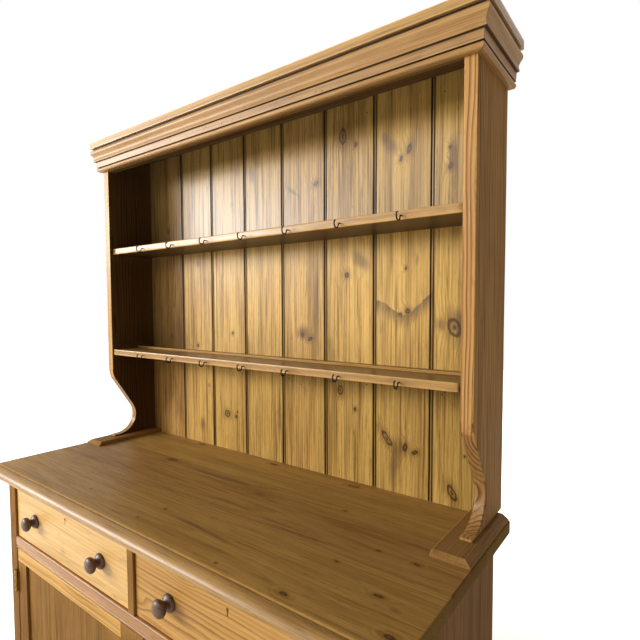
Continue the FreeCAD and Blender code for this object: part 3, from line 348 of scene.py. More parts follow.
def pine(name, tint, ring_width=5.0, line=0.5, streak=0.45, thread=5.0, reach=260.0, stained=0.25,
         roughness=0.5, coat_roughness=0.28, knot_share=0.35, chart=None, wing=False):
    """Planed softwood cut from a log: growth rings met by each face, dark threads, knots that push the rings
    aside, stains, and dents. Its wax is as thick as the mesh says. Sizes are in millimetres: a thread is one
    dark line of the grain, drawn as wide as it has to be to show. tint names its two colours, a chart places
    a board's own knots and stains, and wing adds the stain that spreads from one of them."""
    colours = bpy.context.scene.dresser_colours
    early, late = getattr(colours, tint + "_early"), getattr(colours, tint + "_late")
    material, tree = new_material(name)
    grain = add(tree, "Attribute", attribute_name="grain").outputs["Vector"]
    tone, wear, grime, wax = [add(tree, "Attribute", attribute_name=field).outputs["Fac"]
                              for field in ("tone", "wear", "grime", "wax")]
    if chart:
        upward, *marks = chart
        plane = chart_plane(tree, grain, upward)
        ringed, dark, faint, stain = [ellipse_field(tree, plane, places) for places in marks]
        knot = add(tree, "Math", {0: ringed, 1: dark, 2: knot_merge}, operation="SMOOTH_MIN")
    else:
        knot = dark = scattered_field(tree, grain, knot_share)
    rings = growth_rings(tree, grain, knot, ring_width)
    bands = log_noise(tree, grain, 28.0, 520.0, 3.0)
    threads = log_noise(tree, grain, thread, reach, 4.0)
    dashes = log_noise(tree, grain, thread * 0.45, reach * 0.16, 3.0)
    lights = log_noise(tree, grain, thread * 1.7, reach * 0.9, 3.0)
    clouds = log_noise(tree, grain, 110.0, 300.0, 2.0)
    smudge = log_noise(tree, grain, 24.0, 90.0, 4.0, 0.8)
    dents = log_noise(tree, grain, 9.0, 17.0, 3.0, 0.4)

    pale = times_bright(early, 1.2)
    dark_rings = add(tree, "Math", {0: rings, 1: line}, operation="MULTIPLY")
    wood = add(tree, "Mix", {0: dark_rings, 6: early, 7: late}, data_type="RGBA").outputs[2]
    wood = laid(tree, wood, (
        (bands, 0.42, 0.68, streak * 0.8, late), (lights, 0.5, 0.7, 0.5, pale),
        (clouds, 0.5, 0.72, 0.35, pale), (threads, 0.5, 0.68, streak * 1.2, late),
        (dashes, 0.56, 0.72, streak, late), (smudge, 0.6, 0.74, stained, colours.stain),
        (knot, 3.2, 0.9, 0.4, late)))
    circles = add(tree, "Math", {0: dark, 1: 8.0}, operation="MULTIPLY")
    circles = add(tree, "Math", {0: circles}, operation="SINE")
    core = laid(tree, colours.knot, ((circles, -0.4, 0.9, 1.0, colours.stain),))
    wood = laid(tree, wood, ((dark, 1.3, 0.8, 0.85, core),))
    if wing:
        wood = winged(tree, wood, plane, threads)
    if chart:
        broken = add(tree, "Math", {0: threads, 1: -1.3, 2: stain}, operation="MULTIPLY_ADD")
        outline = add(tree, "Math", {0: ringed, 1: 0.95}, operation="SUBTRACT")
        outline = add(tree, "Math", {0: outline}, operation="ABSOLUTE")
        wood = laid(tree, wood, (
            (broken, 0.8, -0.4, 0.62, colours.stain), (faint, 1.4, 0.4, 0.45, colours.stain),
            (ringed, 1.0, 0.7, 0.35, colours.stain), (outline, 0.34, 0.08, 0.8, colours.knot),
            (ringed, 0.4, 0.2, 0.7, colours.knot)))
    pits = add(tree, "MapRange", {"Value": dents, "From Min": 0.70, "From Max": 0.78}, **soft_step)
    wear_and_highlight = add(tree, "MapRange", {"Value": dents, "From Min": 0.3, "From Max": 0.55, "To Min": 0.35,
                                  "To Max": 0.8}, **soft_step)
    # Worn arrises are painted paler: partly real wear, partly a painted highlight along the arrises.
    for share, amount, colour_over in ((pits, 0.45, colours.knot), (wear_and_highlight, wear, times_bright(early, 1.5)),
                                       (grime, 1.0, colours.grime)):
        share = add(tree, "Math", {0: share, 1: amount}, operation="MULTIPLY")
        wood = add(tree, "Mix", {0: share, 6: wood, 7: colour_over}, data_type="RGBA").outputs[2]
    value = add(tree, "Math", {0: tone, 1: 0.11, 2: 1.0}, operation="MULTIPLY_ADD")
    hue = add(tree, "Math", {0: tone, 1: 0.006, 2: 0.5}, operation="MULTIPLY_ADD")
    wood = add(tree, "HueSaturation", {"Hue": hue, "Value": value, "Color": wood})

    height = 0.0
    for field, amount in ((threads, 0.4), (rings, 0.25), (pits, -0.6), (smudge, 0.5)):
        height = add(tree, "Math", {0: field, 1: amount, 2: height}, operation="MULTIPLY_ADD")
    bump = add(tree, "Bump", {"Strength": 0.5, "Distance": 0.35 * mm, "Height": height})
    patches = add(tree, "Math", {0: bands, 1: 0.5}, operation="MULTIPLY")
    patches = add(tree, "Math", {0: smudge, 1: 0.5, 2: patches}, operation="MULTIPLY_ADD")
    rough = add(tree, "MapRange", {"Value": patches, "From Min": 0.35, "From Max": 0.65,
                                   "To Min": roughness - 0.07, "To Max": roughness + 0.09}, **soft_step)
    rough = add(tree, "Math", {0: grime, 1: 0.8, 2: rough}, operation="MULTIPLY_ADD")
    film = add(tree, "MapRange", {"Value": threads, "From Min": 0.35, "From Max": 0.65, "To Min": 1.08,
                                  "To Max": 0.82}, **soft_step)
    film = add(tree, "Math", {0: wax, 1: film}, operation="MULTIPLY")
    shader = add(tree, "BsdfPrincipled", {
        "Base Color": wood, "Roughness": rough, "Normal": bump, "IOR": 1.5, "Specular IOR Level": 0.08,
        "Coat Weight": film, "Coat Roughness": coat_roughness, "Coat IOR": 1.45})
    add(tree, "OutputMaterial", {"Surface": shader})
    return material


def golden_pine():
    """Waxed matched boards: golden, with straight lines, knots and brown stains, and a broad soft sheen."""
    return pine("waxed_golden_pine", "golden", ring_width=8.0, line=0.45, streak=0.62, stained=0.3,
                coat_roughness=0.35, chart=back_board_chart, wing=True)


def drawer_pine():
    """Waxed flat sawn fronts: yellow, with bold dark lines that sweep round the heart of the board."""
    return pine("waxed_flat_sawn_pine", "drawer", ring_width=8.0, line=0.75, streak=0.2, stained=0.1,
                knot_share=0.15)


def clear_pine():
    """Waxed clear front: pale yellow and almost plain, with faint lines and a soft sheen."""
    return pine("waxed_clear_pine", "clear", ring_width=9.0, line=0.3, streak=0.2, stained=0.3,
                knot_share=0.0)


def honey_pine():
    """Waxed planed shelves: honey brown, with lines close together."""
    return pine("waxed_honey_pine", "honey", ring_width=4.5, line=0.4, streak=0.35)


def end_pine():
    """Waxed planed ends of the rack: golden brown, with bold wavy lines on the edges."""
    return pine("waxed_planed_end_pine", "end", ring_width=7.5, line=1.0, streak=0.2, stained=0.2,
                knot_share=0.2)


def cornice_pine():
    """Waxed moulded pine: mid brown and even, with fine short lines and a strong sheen."""
    return pine("waxed_moulded_pine", "cornice", ring_width=4.0, line=0.3, streak=0.35, thread=3.5,
                stained=0.2, coat_roughness=0.4, knot_share=0.1)


def counter_pine():
    """Waxed and much used counter boards: mid brown, mottled, dented and darkened, with a dull shine."""
    return pine("waxed_counter_pine", "counter", ring_width=7.0, line=0.3, streak=0.4, thread=4.0,
                reach=150.0, stained=0.35, coat_roughness=0.34, chart=counter_chart)


def case_pine():
    """Waxed boards of the base: brown, with long streaks."""
    return pine("waxed_case_pine", "case", roughness=0.6)


def raw_pine():
    """Bare planed boards inside the base: pale and dry, with no shine."""
    return pine("bare_planed_pine", "raw", streak=0.3, stained=0.3, roughness=0.72)


def knob_wood():
    """Stained and polished turned knobs: dark brown, fine grain across the knob, a soft polish."""
    colours = bpy.context.scene.dresser_colours
    material, tree = new_material("polished_turned_wood")
    place = add(tree, "TexCoord").outputs["Object"]
    grain_size = (1 / (1.6 * mm), 1 / (1.6 * mm), 1 / (16 * mm))
    scaled = add(tree, "Mapping", {"Vector": place, "Scale": grain_size})
    fine = add(tree, "TexNoise", {"Vector": scaled, "Scale": 1.0, "Detail": 4.0})
    patches = add(tree, "TexNoise", {"Vector": place, "Scale": 1 / (14 * mm), "Detail": 2.0})
    wood = laid(tree, colours.knob_wood, ((fine, 0.38, 0.64, 1.0, colours.knob_dark),
                                          (patches, 0.45, 0.75, 0.35, times_bright(colours.knob_wood, 1.8))))
    bump = add(tree, "Bump", {"Strength": 0.3, "Distance": 0.2 * mm, "Height": fine})
    rough = add(tree, "MapRange", {"Value": patches, "To Min": 0.36, "To Max": 0.55})
    shader = add(tree, "BsdfPrincipled", {"Base Color": wood, "Roughness": rough, "Normal": bump, "IOR": 1.5,
                                          "Specular IOR Level": 0.3, "Coat Weight": 0.2,
                                          "Coat Roughness": 0.3})
    add(tree, "OutputMaterial", {"Surface": shader})
    return material


def metal(name, tint, metallic, roughness, patch, relief):
    """Old metal: a tint that varies in patches, with a fine uneven skin."""
    material, tree = new_material(name)
    place = add(tree, "TexCoord").outputs["Object"]
    patches = add(tree, "TexNoise", {"Vector": place, "Scale": 1 / patch, "Detail": 4.0})
    skin_colour = laid(tree, tint, ((patches, 0.42, 0.68, 1.0, times_bright(tint, 0.45)),))
    rough = add(tree, "MapRange", {"Value": patches, "To Min": roughness - 0.12, "To Max": roughness + 0.18})
    bump = add(tree, "Bump", {"Strength": 0.4, "Distance": relief, "Height": patches})
    shader = add(tree, "BsdfPrincipled", {"Base Color": skin_colour, "Metallic": metallic, "Roughness": rough,
                                          "Normal": bump})
    add(tree, "OutputMaterial", {"Surface": shader})
    return material


def iron():
    """Blackened iron wire and plate: near black, with a dull shine."""
    return metal("blackened_iron", bpy.context.scene.dresser_colours.iron, 0.6, 0.5, 3 * mm, 0.1 * mm)


def brass():
    """Aged cast brass: dull gold with brown patches."""
    return metal("aged_brass", bpy.context.scene.dresser_colours.brass, 1.0, 0.38, 6 * mm, 0.08 * mm)


def floor_paint():
    """Matt pale floor that goes to plain white towards the camera and in reflections, more so away from the
    dresser, and keeps its shadow."""
    material, tree = new_material("matt_pale_floor")
    tint = bpy.context.scene.dresser_colours.floor
    shader = add(tree, "BsdfPrincipled", {"Base Color": tint, "Roughness": 0.9})
    place = add(tree, "TexCoord").outputs["Object"]
    away = add(tree, "VectorMath", {0: place}, operation="LENGTH").outputs["Value"]
    strength = add(tree, "MapRange", {"Value": away, "From Min": 0.8, "From Max": 3.0, "To Min": 0.4,
                                      "To Max": 1.0}, **soft_step)
    glow = add(tree, "Emission", {"Color": tint, "Strength": strength})
    plain = add(tree, "AddShader", {0: shader, 1: glow})
    shown = add(tree, "MixShader", {0: seen_rays(tree), 1: shader, 2: plain})
    add(tree, "OutputMaterial", {"Surface": shown})
    return material


def seen_rays(tree):
    """1 for the rays that see a background: the camera's, and those in reflections and through glass."""
    path = add(tree, "LightPath")
    seen = path.outputs["Is Camera Ray"]
    for ray in ("Is Glossy Ray", "Is Transmission Ray"):
        seen = add(tree, "Math", {0: seen, 1: path.outputs[ray]}, operation="MAXIMUM")
    return seen


finish_makers = {
    "case_pine": case_pine, "counter_pine": counter_pine, "rack_pine": honey_pine,
    "backboard_pine": golden_pine, "drawer_front_pine": drawer_pine, "raw_pine": raw_pine,
    "turned_knob": knob_wood, "iron": iron, "brass": brass,
    "rack_end": end_pine, "cornice": cornice_pine, "clear_front": clear_pine,
}
finishes = {}


def finish_of(name):
    """The material of a slot, or a finish of its own, made the first time that it is asked for."""
    if name not in finishes:
        finishes[name] = finish_makers[name]()
    return finishes[name]


# Boards

def extent(points):
    """The lowest and highest corners of the box round some points."""
    return [Vector([pick(point[axis] for point in points) for axis in range(3)]) for pick in (min, max)]


def new_mesh():
    """An empty mesh with the fields that the wood finishes read."""
    bm = bmesh.new()
    bm.verts.layers.float_vector.new("grain")
    for field in ("wear", "grime", "tone", "wax"):
        bm.verts.layers.float.new(field)
    return bm


def wobbled(point):
    """A point moved a little, as hand planing and long use leave it. Neighbouring boards move alike."""
    sizes = bpy.context.scene.dresser_sizes
    return point + noise.noise_vector(point / sizes.wobble_length) * sizes.wobble


def lay_grain(bm, corners, name, along=None, quarter=False, tone=None):
    """Gives one board its place in the log, in millimetres. The grain runs along its length unless along
    names an axis. The heart lies behind the face, or beside a quarter sawn board. tone goes from -1, dark,
    to 1."""
    chance = random.Random(name)
    low, high = extent([corner.co for corner in corners])
    spans = high - low
    length_axis = max(range(3), key=lambda axis: spans[axis]) if along is None else along
    through, across = sorted((axis for axis in range(3) if axis != length_axis), key=lambda axis: spans[axis])
    centre = (low + high) / 2 / mm
    if quarter:
        heart_across, heart_through = chance.uniform(150, 240), chance.uniform(-30, 30)
    else:
        heart_across, heart_through = chance.uniform(-70, 70), chance.uniform(25, 80) * chance.choice((-1, 1))
    shift = chance.uniform(0, 4000)
    drawn_tone = chance.uniform(-1, 1)
    grain_layer = bm.verts.layers.float_vector["grain"]
    tone_layer = bm.verts.layers.float["tone"]
    for corner in corners:
        place = corner.co / mm
        corner[grain_layer] = (place[across] - centre[across] - heart_across,
                               place[through] - centre[through] - heart_through,
                               place[length_axis] + shift)
        corner[tone_layer] = drawn_tone if tone is None else tone


cut_back_share = 0.29     # of its ease: how far the middle of an eased corner is cut back
side_share = 0.45         # of a side: the most that the wear of its corner takes
curve_share = 0.6         # of that wear: the most that the corner's curve takes
half_rubbed = 0.7         # the wear where the curve meets the face
bevel_wear = 0.8          # the wear of a bevelled arris


def rounded(corners):
    """A section from corners (u, v, ease, grime): an ease above 0 rounds the corner and marks its wear."""
    wear_margin = bpy.context.scene.dresser_sizes.wear_margin
    section = []
    for index, (u, v, ease, dirt) in enumerate(corners):
        if ease == 0:
            section.append((u, v, 0.0, dirt))
            continue
        here = Vector((u, v))
        middle = Vector((0, 0))
        sides = []
        for neighbour in (corners[index - 1], corners[(index + 1) % len(corners)]):
            way = Vector(neighbour[:2]) - here
            margin = min(ease + wear_margin, way.length * side_share)
            way.normalize()
            middle += way
            curve = min(ease, margin * curve_share)
            sides.append([(here + way * margin, 0.0), (here + way * curve, half_rubbed)])
        middle = here + middle * ease * cut_back_share
        for point, rub in (*sides[0], (middle, 1.0), *reversed(sides[1])):
            section.append((point.x, point.y, rub, dirt))
    return section


def closed_skin(bm, rows):
    """Joins rows of corners into a closed skin and returns its two end faces."""
    for near, far in zip(rows, rows[1:]):
        for index in range(len(near)):
            after = (index + 1) % len(near)
            bm.faces.new((near[index], near[after], far[after], far[index]))
    return [bm.faces.new(rows[0][::-1]), bm.faces.new(rows[-1])]


def skin(bm, section, rings, ease_ends=0.0, ring_dirt=None):
    """Skins one board over copies of its section and closes both ends. rings holds each copy's points, and
    ring_dirt the grime that each copy has more than its section."""
    wear_layer = bm.verts.layers.float["wear"]
    grime_layer = bm.verts.layers.float["grime"]
    rows = []
    for number, ring in enumerate(rings):
        row = []
        more = ring_dirt[number] if ring_dirt else 0.0
        for point, (_, _, rub, dirt) in zip(ring, section):
            corner = bm.verts.new(wobbled(point))
            corner[wear_layer] = rub
            corner[grime_layer] = max(dirt, more)
            row.append(corner)
        rows.append(row)
    caps = closed_skin(bm, rows)
    corners = [corner for row in rows for corner in row]
    if ease_ends > 0:
        edges = list({edge for cap in caps for edge in cap.edges})
        result = bmesh.ops.bevel(bm, geom=edges, offset=ease_ends, segments=2, profile=0.5, affect="EDGES",
                                 clamp_overlap=True)
        corners = [corner for corner in corners if corner.is_valid]
        for corner in result["verts"]:
            corner[wear_layer] = bevel_wear
            corners.append(corner)
    return corners


def stations(start, end):
    """Places from start to end, no further apart than a station."""
    steps = max(1, math.ceil(abs(end - start) / bpy.context.scene.dresser_sizes.station))
    return [start + (end - start) * step / steps for step in range(steps + 1)]


def bend(centre_u, centre_v, radius, start, end, steps):
    """Points (u, v) round an arc, from one angle to another in degrees."""
    points = []
    for step in range(steps + 1):
        angle = math.radians(start + (end - start) * step / steps)
        points.append((centre_u + radius * math.cos(angle), centre_v + radius * math.sin(angle)))
    return points


def solids(node):
    """The lowest and highest corners of each solid of a node, from left to right."""
    bm = bmesh.new()
    bm.from_mesh(frame["nodes"][node].data)
    bmesh.ops.remove_doubles(bm, verts=bm.verts, dist=mm / 100)
    found = [extent([corner.co for corner in island]) for island in islands(bm)]
    bm.free()
    return sorted(found, key=lambda box: (round(box[0].x, 5), round(box[0].y, 5), round(box[0].z, 5)))


def islands(bm):
    """The corners of each separate solid in a mesh."""
    unseen = set(bm.verts)
    found = []
    while unseen:
        start = min(unseen, key=lambda corner: corner.index)
        unseen.discard(start)
        island, edge_of_search = [start], [start]
        while edge_of_search:
            corner = edge_of_search.pop()
            for edge in corner.link_edges:
                other = edge.other_vert(corner)
                if other in unseen:
                    unseen.discard(other)
                    island.append(other)
                    edge_of_search.append(other)
        found.append(island)
    return found


def stood(name, bm, material):
    """Stands a mesh in the scene as an object in one material."""
    mesh = bpy.data.meshes.new(name)
    bm.to_mesh(mesh)
    bm.free()
    mesh.materials.append(material)
    piece = bpy.data.objects.new(name, mesh)
    bpy.context.scene.collection.objects.link(piece)
    return piece


def finished(bm, node, finish=None, wax=0.05, dust=0.0, smooth=38.0):
    """Turns a mesh into the piece that stands for a node, on its body, in its slot's finish or its own.
    wax and dust give a point's thickness of wax and its darkening, which is dirt in some places and painted shade in
    others, or one number for all of it."""
    wax_layer = bm.verts.layers.float["wax"]
    grime_layer = bm.verts.layers.float["grime"]
    low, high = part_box(node)
    for corner in bm.verts:
        corner.co = [min(max(corner.co[axis], low[axis]), high[axis]) for axis in range(3)]
        corner[wax_layer] = wax(corner.co) if callable(wax) else wax
        dirt = dust(corner.co) if callable(dust) else dust
        corner[grime_layer] = 1 - (1 - corner[grime_layer]) * (1 - dirt)
    bmesh.ops.recalc_face_normals(bm, faces=bm.faces)
    slot = slots_of_nodes[node]
    piece = stood("finished_" + node, bm, finish_of(finish or slot))
    piece.data.shade_smooth()
    piece.data.set_sharp_from_angle(angle=math.radians(smooth))
    piece.modifiers.new("even_shading", "WEIGHTED_NORMAL").keep_sharp = True
    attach(piece, bodies_of_nodes[node])
    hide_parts(node)


def cut_into_stations(bm, island):
    """Cuts one board's faces across at stations, and beside its edges where the wear of an arris ends."""
    sizes = bpy.context.scene.dresser_sizes
    low, high = extent([corner.co for corner in island])
    faces = dict.fromkeys(face for corner in island for face in corner.link_faces)
    edges = dict.fromkeys(edge for corner in island for edge in corner.link_edges)
    geometry = [*island, *edges, *faces]
    for axis in range(3):
        span = high[axis] - low[axis]
        normal = Vector([1.0 if index == axis else 0.0 for index in range(3)])
        steps = max(1, int(span / (2 * sizes.station)))
        places = [span * step / steps for step in range(1, steps)]
        if span > 3 * sizes.wear_margin:
            places += [sizes.wear_margin, span - sizes.wear_margin]
        for place in places:
            geometry = bmesh.ops.bisect_plane(bm, geom=geometry, dist=mm / 1000,
                                              plane_co=low + normal * place, plane_no=normal)["geom"]


def wear_arrises(bm):
    """Marks the wear of the corners that lie on an arris, and none on the flat faces between; the finishes paint this
    wear paler, partly as a painted highlight.
    """
    wear_layer = bm.verts.layers.float["wear"]
    bm.normal_update()
    for corner in bm.verts:
        bends = [math.degrees(edge.calc_face_angle(0)) for edge in corner.link_edges]
        rounded_over = any(angle > 15 for angle in bends) and all(angle < 60 for angle in bends)
        corner[wear_layer] = bevel_wear if rounded_over else 0.0


def eased_copy(node, ease, along=None, least=6.0, finish=None, wax=0.05, dust=0.0, tones=None):
    """Finishes a copy of a node whose own shape is right: its long outer edges are rounded and rubbed, and
    long boards are cut into stations so that their faces wobble. tones gives the boards' tones in order."""
    bm = new_mesh()
    bm.from_mesh(frame["nodes"][node].data)
    bmesh.ops.remove_doubles(bm, verts=bm.verts, dist=mm / 100)
    bmesh.ops.dissolve_limit(bm, angle_limit=math.radians(0.5), verts=bm.verts, edges=bm.edges)
    edges = [edge for edge in bm.edges if edge.is_manifold and edge.is_convex
             and edge.calc_face_angle(0) > math.radians(20) and edge.calc_length() > ease * least]
    bmesh.ops.bevel(bm, geom=edges, offset=ease, segments=2, profile=0.5, affect="EDGES", clamp_overlap=False)
    bm.verts.index_update()
    for island in islands(bm):
        cut_into_stations(bm, island)
    wear_arrises(bm)
    bm.verts.index_update()
    for number, island in enumerate(islands(bm)):
        lay_grain(bm, island, f"{node} {number}", along, tone=tones[number] if tones else None)
    if slots_of_nodes[node] not in ("iron", "brass"):
        for corner in bm.verts:
            corner.co = wobbled(corner.co)
    finished(bm, node, finish, wax, dust)


# The rack

class DRESSER_OT_back_boards(bpy.types.Operator):
    """Builds the matched boards at the back of the rack, each grooved, tongued and beaded"""
    bl_idname = "dresser.back_boards"
    bl_label = "Back boards"

    # The boards' tones from left to right; the first board's dark tone is partly painted shade from the rack's left
    # end.
    tones = (-0.9, 0.2, 0.4, 0.4, -0.1, 0.5, 0.6, 0.9)

    def execute(self, context):
        sizes = context.scene.dresser_sizes
        bm = new_mesh()
        boards = solids("rack_backboards")
        for number, (low, high) in enumerate(boards):
            section = self.section(sizes, low, high, number > 0, number < len(boards) - 1)
            rings = [[Vector((u, v, z)) for u, v, _, _ in section] for z in stations(low.z, high.z)]
            lay_grain(bm, skin(bm, section, rings), f"back board {number}", along=2, quarter=True,
                      tone=self.tones[number % len(self.tones)])
        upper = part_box("upper_shelf")[0].z
        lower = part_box("lower_shelf")[0].z
        left, right = boards[0][0].x, boards[-1][1].x
        corner = boards[1][0].x
        rear = (boards[0][0].y + boards[0][1].y) / 2

        def wax(point):
            """The boards were waxed most where nothing rubs on them, at the top, and not behind."""
            if point.y > rear:
                return 0.0
            if point.z > upper:
                return 0.6 if point.x < corner else 0.85 + 0.15 * (point.x - left) / (right - left)
            return 0.35 if point.z > lower else 0.05

        def dust(point):
            """Painted shade: in the top bay under the cornice, more so towards the left; on the corner board, in the
            shadow of the rack's left end, in the top and middle bays; a little in the bottom bay, more to the right,
            and a touch in the middle bay towards the left. The rear faces are darker too.
            """
            share = (point.x - left) / (right - left)
            if point.y > rear:
                return 0.3
            if point.z > upper:
                return 0.52 if point.x < corner else 0.46 - 0.34 * share
            if point.z > lower:
                return 0.42 if point.x < corner else 0.05 * (1 - share)
            return 0.14 + 0.1 * share

        finished(bm, "rack_backboards", wax=wax, dust=dust)
        return {"FINISHED"}

    def section(self, sizes, low, high, grooved, tongued):
        """One board seen from above: the front edge, then the right edge, the back and the left edge."""
        middle = (low.y + high.y) / 2
        half = sizes.tongue_thickness / 2
        right = high.x - sizes.tongue if tongued else high.x
        worn = sizes.joint_round
        corners = [(low.x, low.y + worn, 0, 1.0), (low.x + worn / 3, low.y + worn / 3, 0, 0.95),
                   (low.x + worn, low.y, 0, 0.5), (low.x + 2 * worn, low.y, 0, 0.1),
                   (low.x + 4 * worn, low.y, 0, 0)]
        if tongued:
            bead_left = right - 2 * sizes.bead
            quirk_left = bead_left - sizes.quirk
            corners += [(quirk_left - 4 * mm, low.y, 0, 0.0), (quirk_left - 1.2 * mm, low.y, 0, 0.3),
                        (quirk_left, low.y + 0.4 * mm, 0, 0.95),
                        (quirk_left, low.y + sizes.quirk_depth, 0, 1.0),
                        (bead_left, low.y + sizes.quirk_depth, 0, 1.0)]
            for u, v in bend(right - sizes.bead, low.y + sizes.bead, sizes.bead, 180, 360, 8):
                corners.append((u, v, 0, 0.5 if v < low.y + sizes.bead / 2 else 0.95))
            corners += [(right, middle - half, 0, 1.0), (high.x, middle - half, 0, 1.0),
                        (high.x, middle + half, 0, 1.0), (right, middle + half, 0, 1.0)]
        else:
            corners.append((right, low.y, 0, 0.4))
        corners += [(right, high.y, 0, 0.9), (right - worn / 2, high.y, 0, 0.1),
                    (low.x + worn / 2, high.y, 0, 0.1), (low.x, high.y, 0, 0.9)]
        if grooved:
            depth = low.x + sizes.tongue + mm
            corners += [(low.x, middle + half, 0, 1.0), (depth, middle + half, 0, 1.0),
                        (depth, middle - half, 0, 1.0), (low.x, middle - half, 0, 1.0)]
        return rounded(corners)


class DRESSER_OT_nails(bpy.types.Operator):
    """Drives the small iron nails that hold the back boards and the cornice"""
    bl_idname = "dresser.nails"
    bl_label = "Nails"

    # A head from its crown to its foot: radius as a share of the nail's, and reach out of the face
    flat_head = ((0.55, 0.35 * mm), (1.0, 0.15 * mm), (1.0, -0.6 * mm))
    small_head = ((0.5, 0.9 * mm), (0.7, 0.7 * mm), (0.7, 0.0))
    sides = 12

    def execute(self, context):
        sizes = context.scene.dresser_sizes
        fascia_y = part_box("rack_end_right")[0].y - sizes.fascia_foot
        bm = bmesh.new()
        for places, face_y, head in ((back_board_nails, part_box("rack_backboards")[0].y, self.flat_head),
                                     (cornice_nails, fascia_y, self.small_head)):
            profile = [(sizes.nail * share, reach) for share, reach in head]
            for across, up in places:
                skin_round(bm, Vector((across * mm, face_y, up * mm)), profile, self.sides)
        bmesh.ops.recalc_face_normals(bm, faces=bm.faces)
        piece = stood("rack_nails", bm, finish_of("iron"))
        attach(piece, "case")
        return {"FINISHED"}


def skin_round(bm, centre, profile, sides):
    """Skins a round piece that stands out of a face towards the front: profile holds (radius, reach)."""
    rows = []
    for radius, reach in profile:
        turns = [2 * math.pi * index / sides for index in range(sides)]
        rows.append([bm.verts.new(centre + Vector((radius * math.cos(turn), -reach, radius * math.sin(turn))))
                     for turn in turns])
    closed_skin(bm, rows)


class DRESSER_OT_shelves(bpy.types.Operator):
    """Builds both plate shelves with their worn front edges, and the strips that plates lean against"""
    bl_idname = "dresser.shelves"
    bl_label = "Shelves"

    clean_edge = 3 * mm        # how far the front edge is left undarkened, by the painted shade underneath and the darkening on top
    worn_length = 14 * mm      # how far the right front corner is worn back along the edge
    worn_depth = 40 * mm       # how far behind the edge that wear ends
    worn_places = [24 * mm, 14 * mm, 9 * mm, 5 * mm, 2 * mm, 0.0]

    def execute(self, context):
        sizes = context.scene.dresser_sizes
        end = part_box("rack_end_right")[0].x
        for node, cut in (("lower_shelf", sizes.shelf_corner), ("upper_shelf", sizes.shelf_corner / 2)):
            low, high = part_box(node)
            bm = new_mesh()
            self.board(bm, low, high, node, sizes.soft_ease, end, cut)
            finished(bm, node, wax=0.7, dust=self.dust(low, high))
        bm = new_mesh()
        for number, (low, high) in enumerate(solids("plate_strips")):
            self.board(bm, low, high, f"plate strip {number}", sizes.ease, end, 0)
        finished(bm, "plate_strips", wax=0.1)
        return {"FINISHED"}

    def dust(self, low, high):
        """Painted shade underneath, the top darkened less, and a clean front edge."""
        def rule(point):
            if point.y < low.y + self.clean_edge:
                return 0.0
            return 0.45 if point.z > (low.z + high.z) / 2 else 0.84
        return rule

    def board(self, bm, low, high, name, ease, end, cut):
        """A long board; cut wears its right front corner back where it meets the rack's end."""
        section = rounded([(low.y, low.z, ease, 0.1), (high.y, low.z, 0, 0.3), (high.y, high.z, 0, 0.3),
                           (low.y, high.z, ease, 0.25)])
        places = stations(low.x, end - self.worn_places[0]) + [end - back for back in self.worn_places[1:]]
        rings = []
        for x in [*places, high.x]:
            near = cut * max(0.0, 1 - (end - x) / self.worn_length) ** 2
            rings.append([Vector((x, u + near * max(0.0, 1 - (u - low.y) / self.worn_depth), v))
                          for u, v, _, _ in section])
        lay_grain(bm, skin(bm, section, rings), name, along=0, quarter=True)


class DRESSER_OT_rack_ends(bpy.types.Operator):
    """Builds the shaped ends of the rack and the bevelled feet that they stand on"""
    bl_idname = "dresser.rack_ends"
    bl_label = "Rack ends and feet"

    face_depth = 0.7 * mm      # what lies this near to a face counts as the face, and not as an edge
    shoulder_drop = 75 * mm    # from the lower shelf down to where the front edge starts to sweep
    scoop_height = 90 * mm     # from the feet up to the end of the scoop that hands polished

    def execute(self, context):
        ease = context.scene.dresser_sizes.ease
        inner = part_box("rack_end_right")[0].x + self.face_depth
        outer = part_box("rack_end_right")[1].x - self.face_depth
        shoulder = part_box("lower_shelf")[0].z - self.shoulder_drop
        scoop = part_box("rack_feet")[1].z + self.scoop_height

        def dust(point):
            """The inner faces are darkened, partly as old stain and partly as painted shade, the left end's most; the
            outer faces a little; the edges are darker below the shoulder and clean above it.
            """
            if abs(point.x) < inner:
                return 0.86 if point.x < 0 else 0.55
            if abs(point.x) > outer:
                return 0.24
            return 0.3 if point.z < shoulder else 0.0

        def wax(point):
            """Hands polished the scoop most."""
            if not inner <= abs(point.x) <= outer:
                return 0.0
            return (0.9 if point.x > 0 else 0.4) if point.z < scoop else 0.28

        for node in ("rack_end_left", "rack_end_right"):
            eased_copy(node, ease, along=2, finish="rack_end", wax=wax, dust=dust)
        eased_copy("rack_feet", ease * 0.7, along=1, finish="counter_pine", wax=0.04, dust=0.28,
                   tones=(-1.0, -1.0))
        return {"FINISHED"}


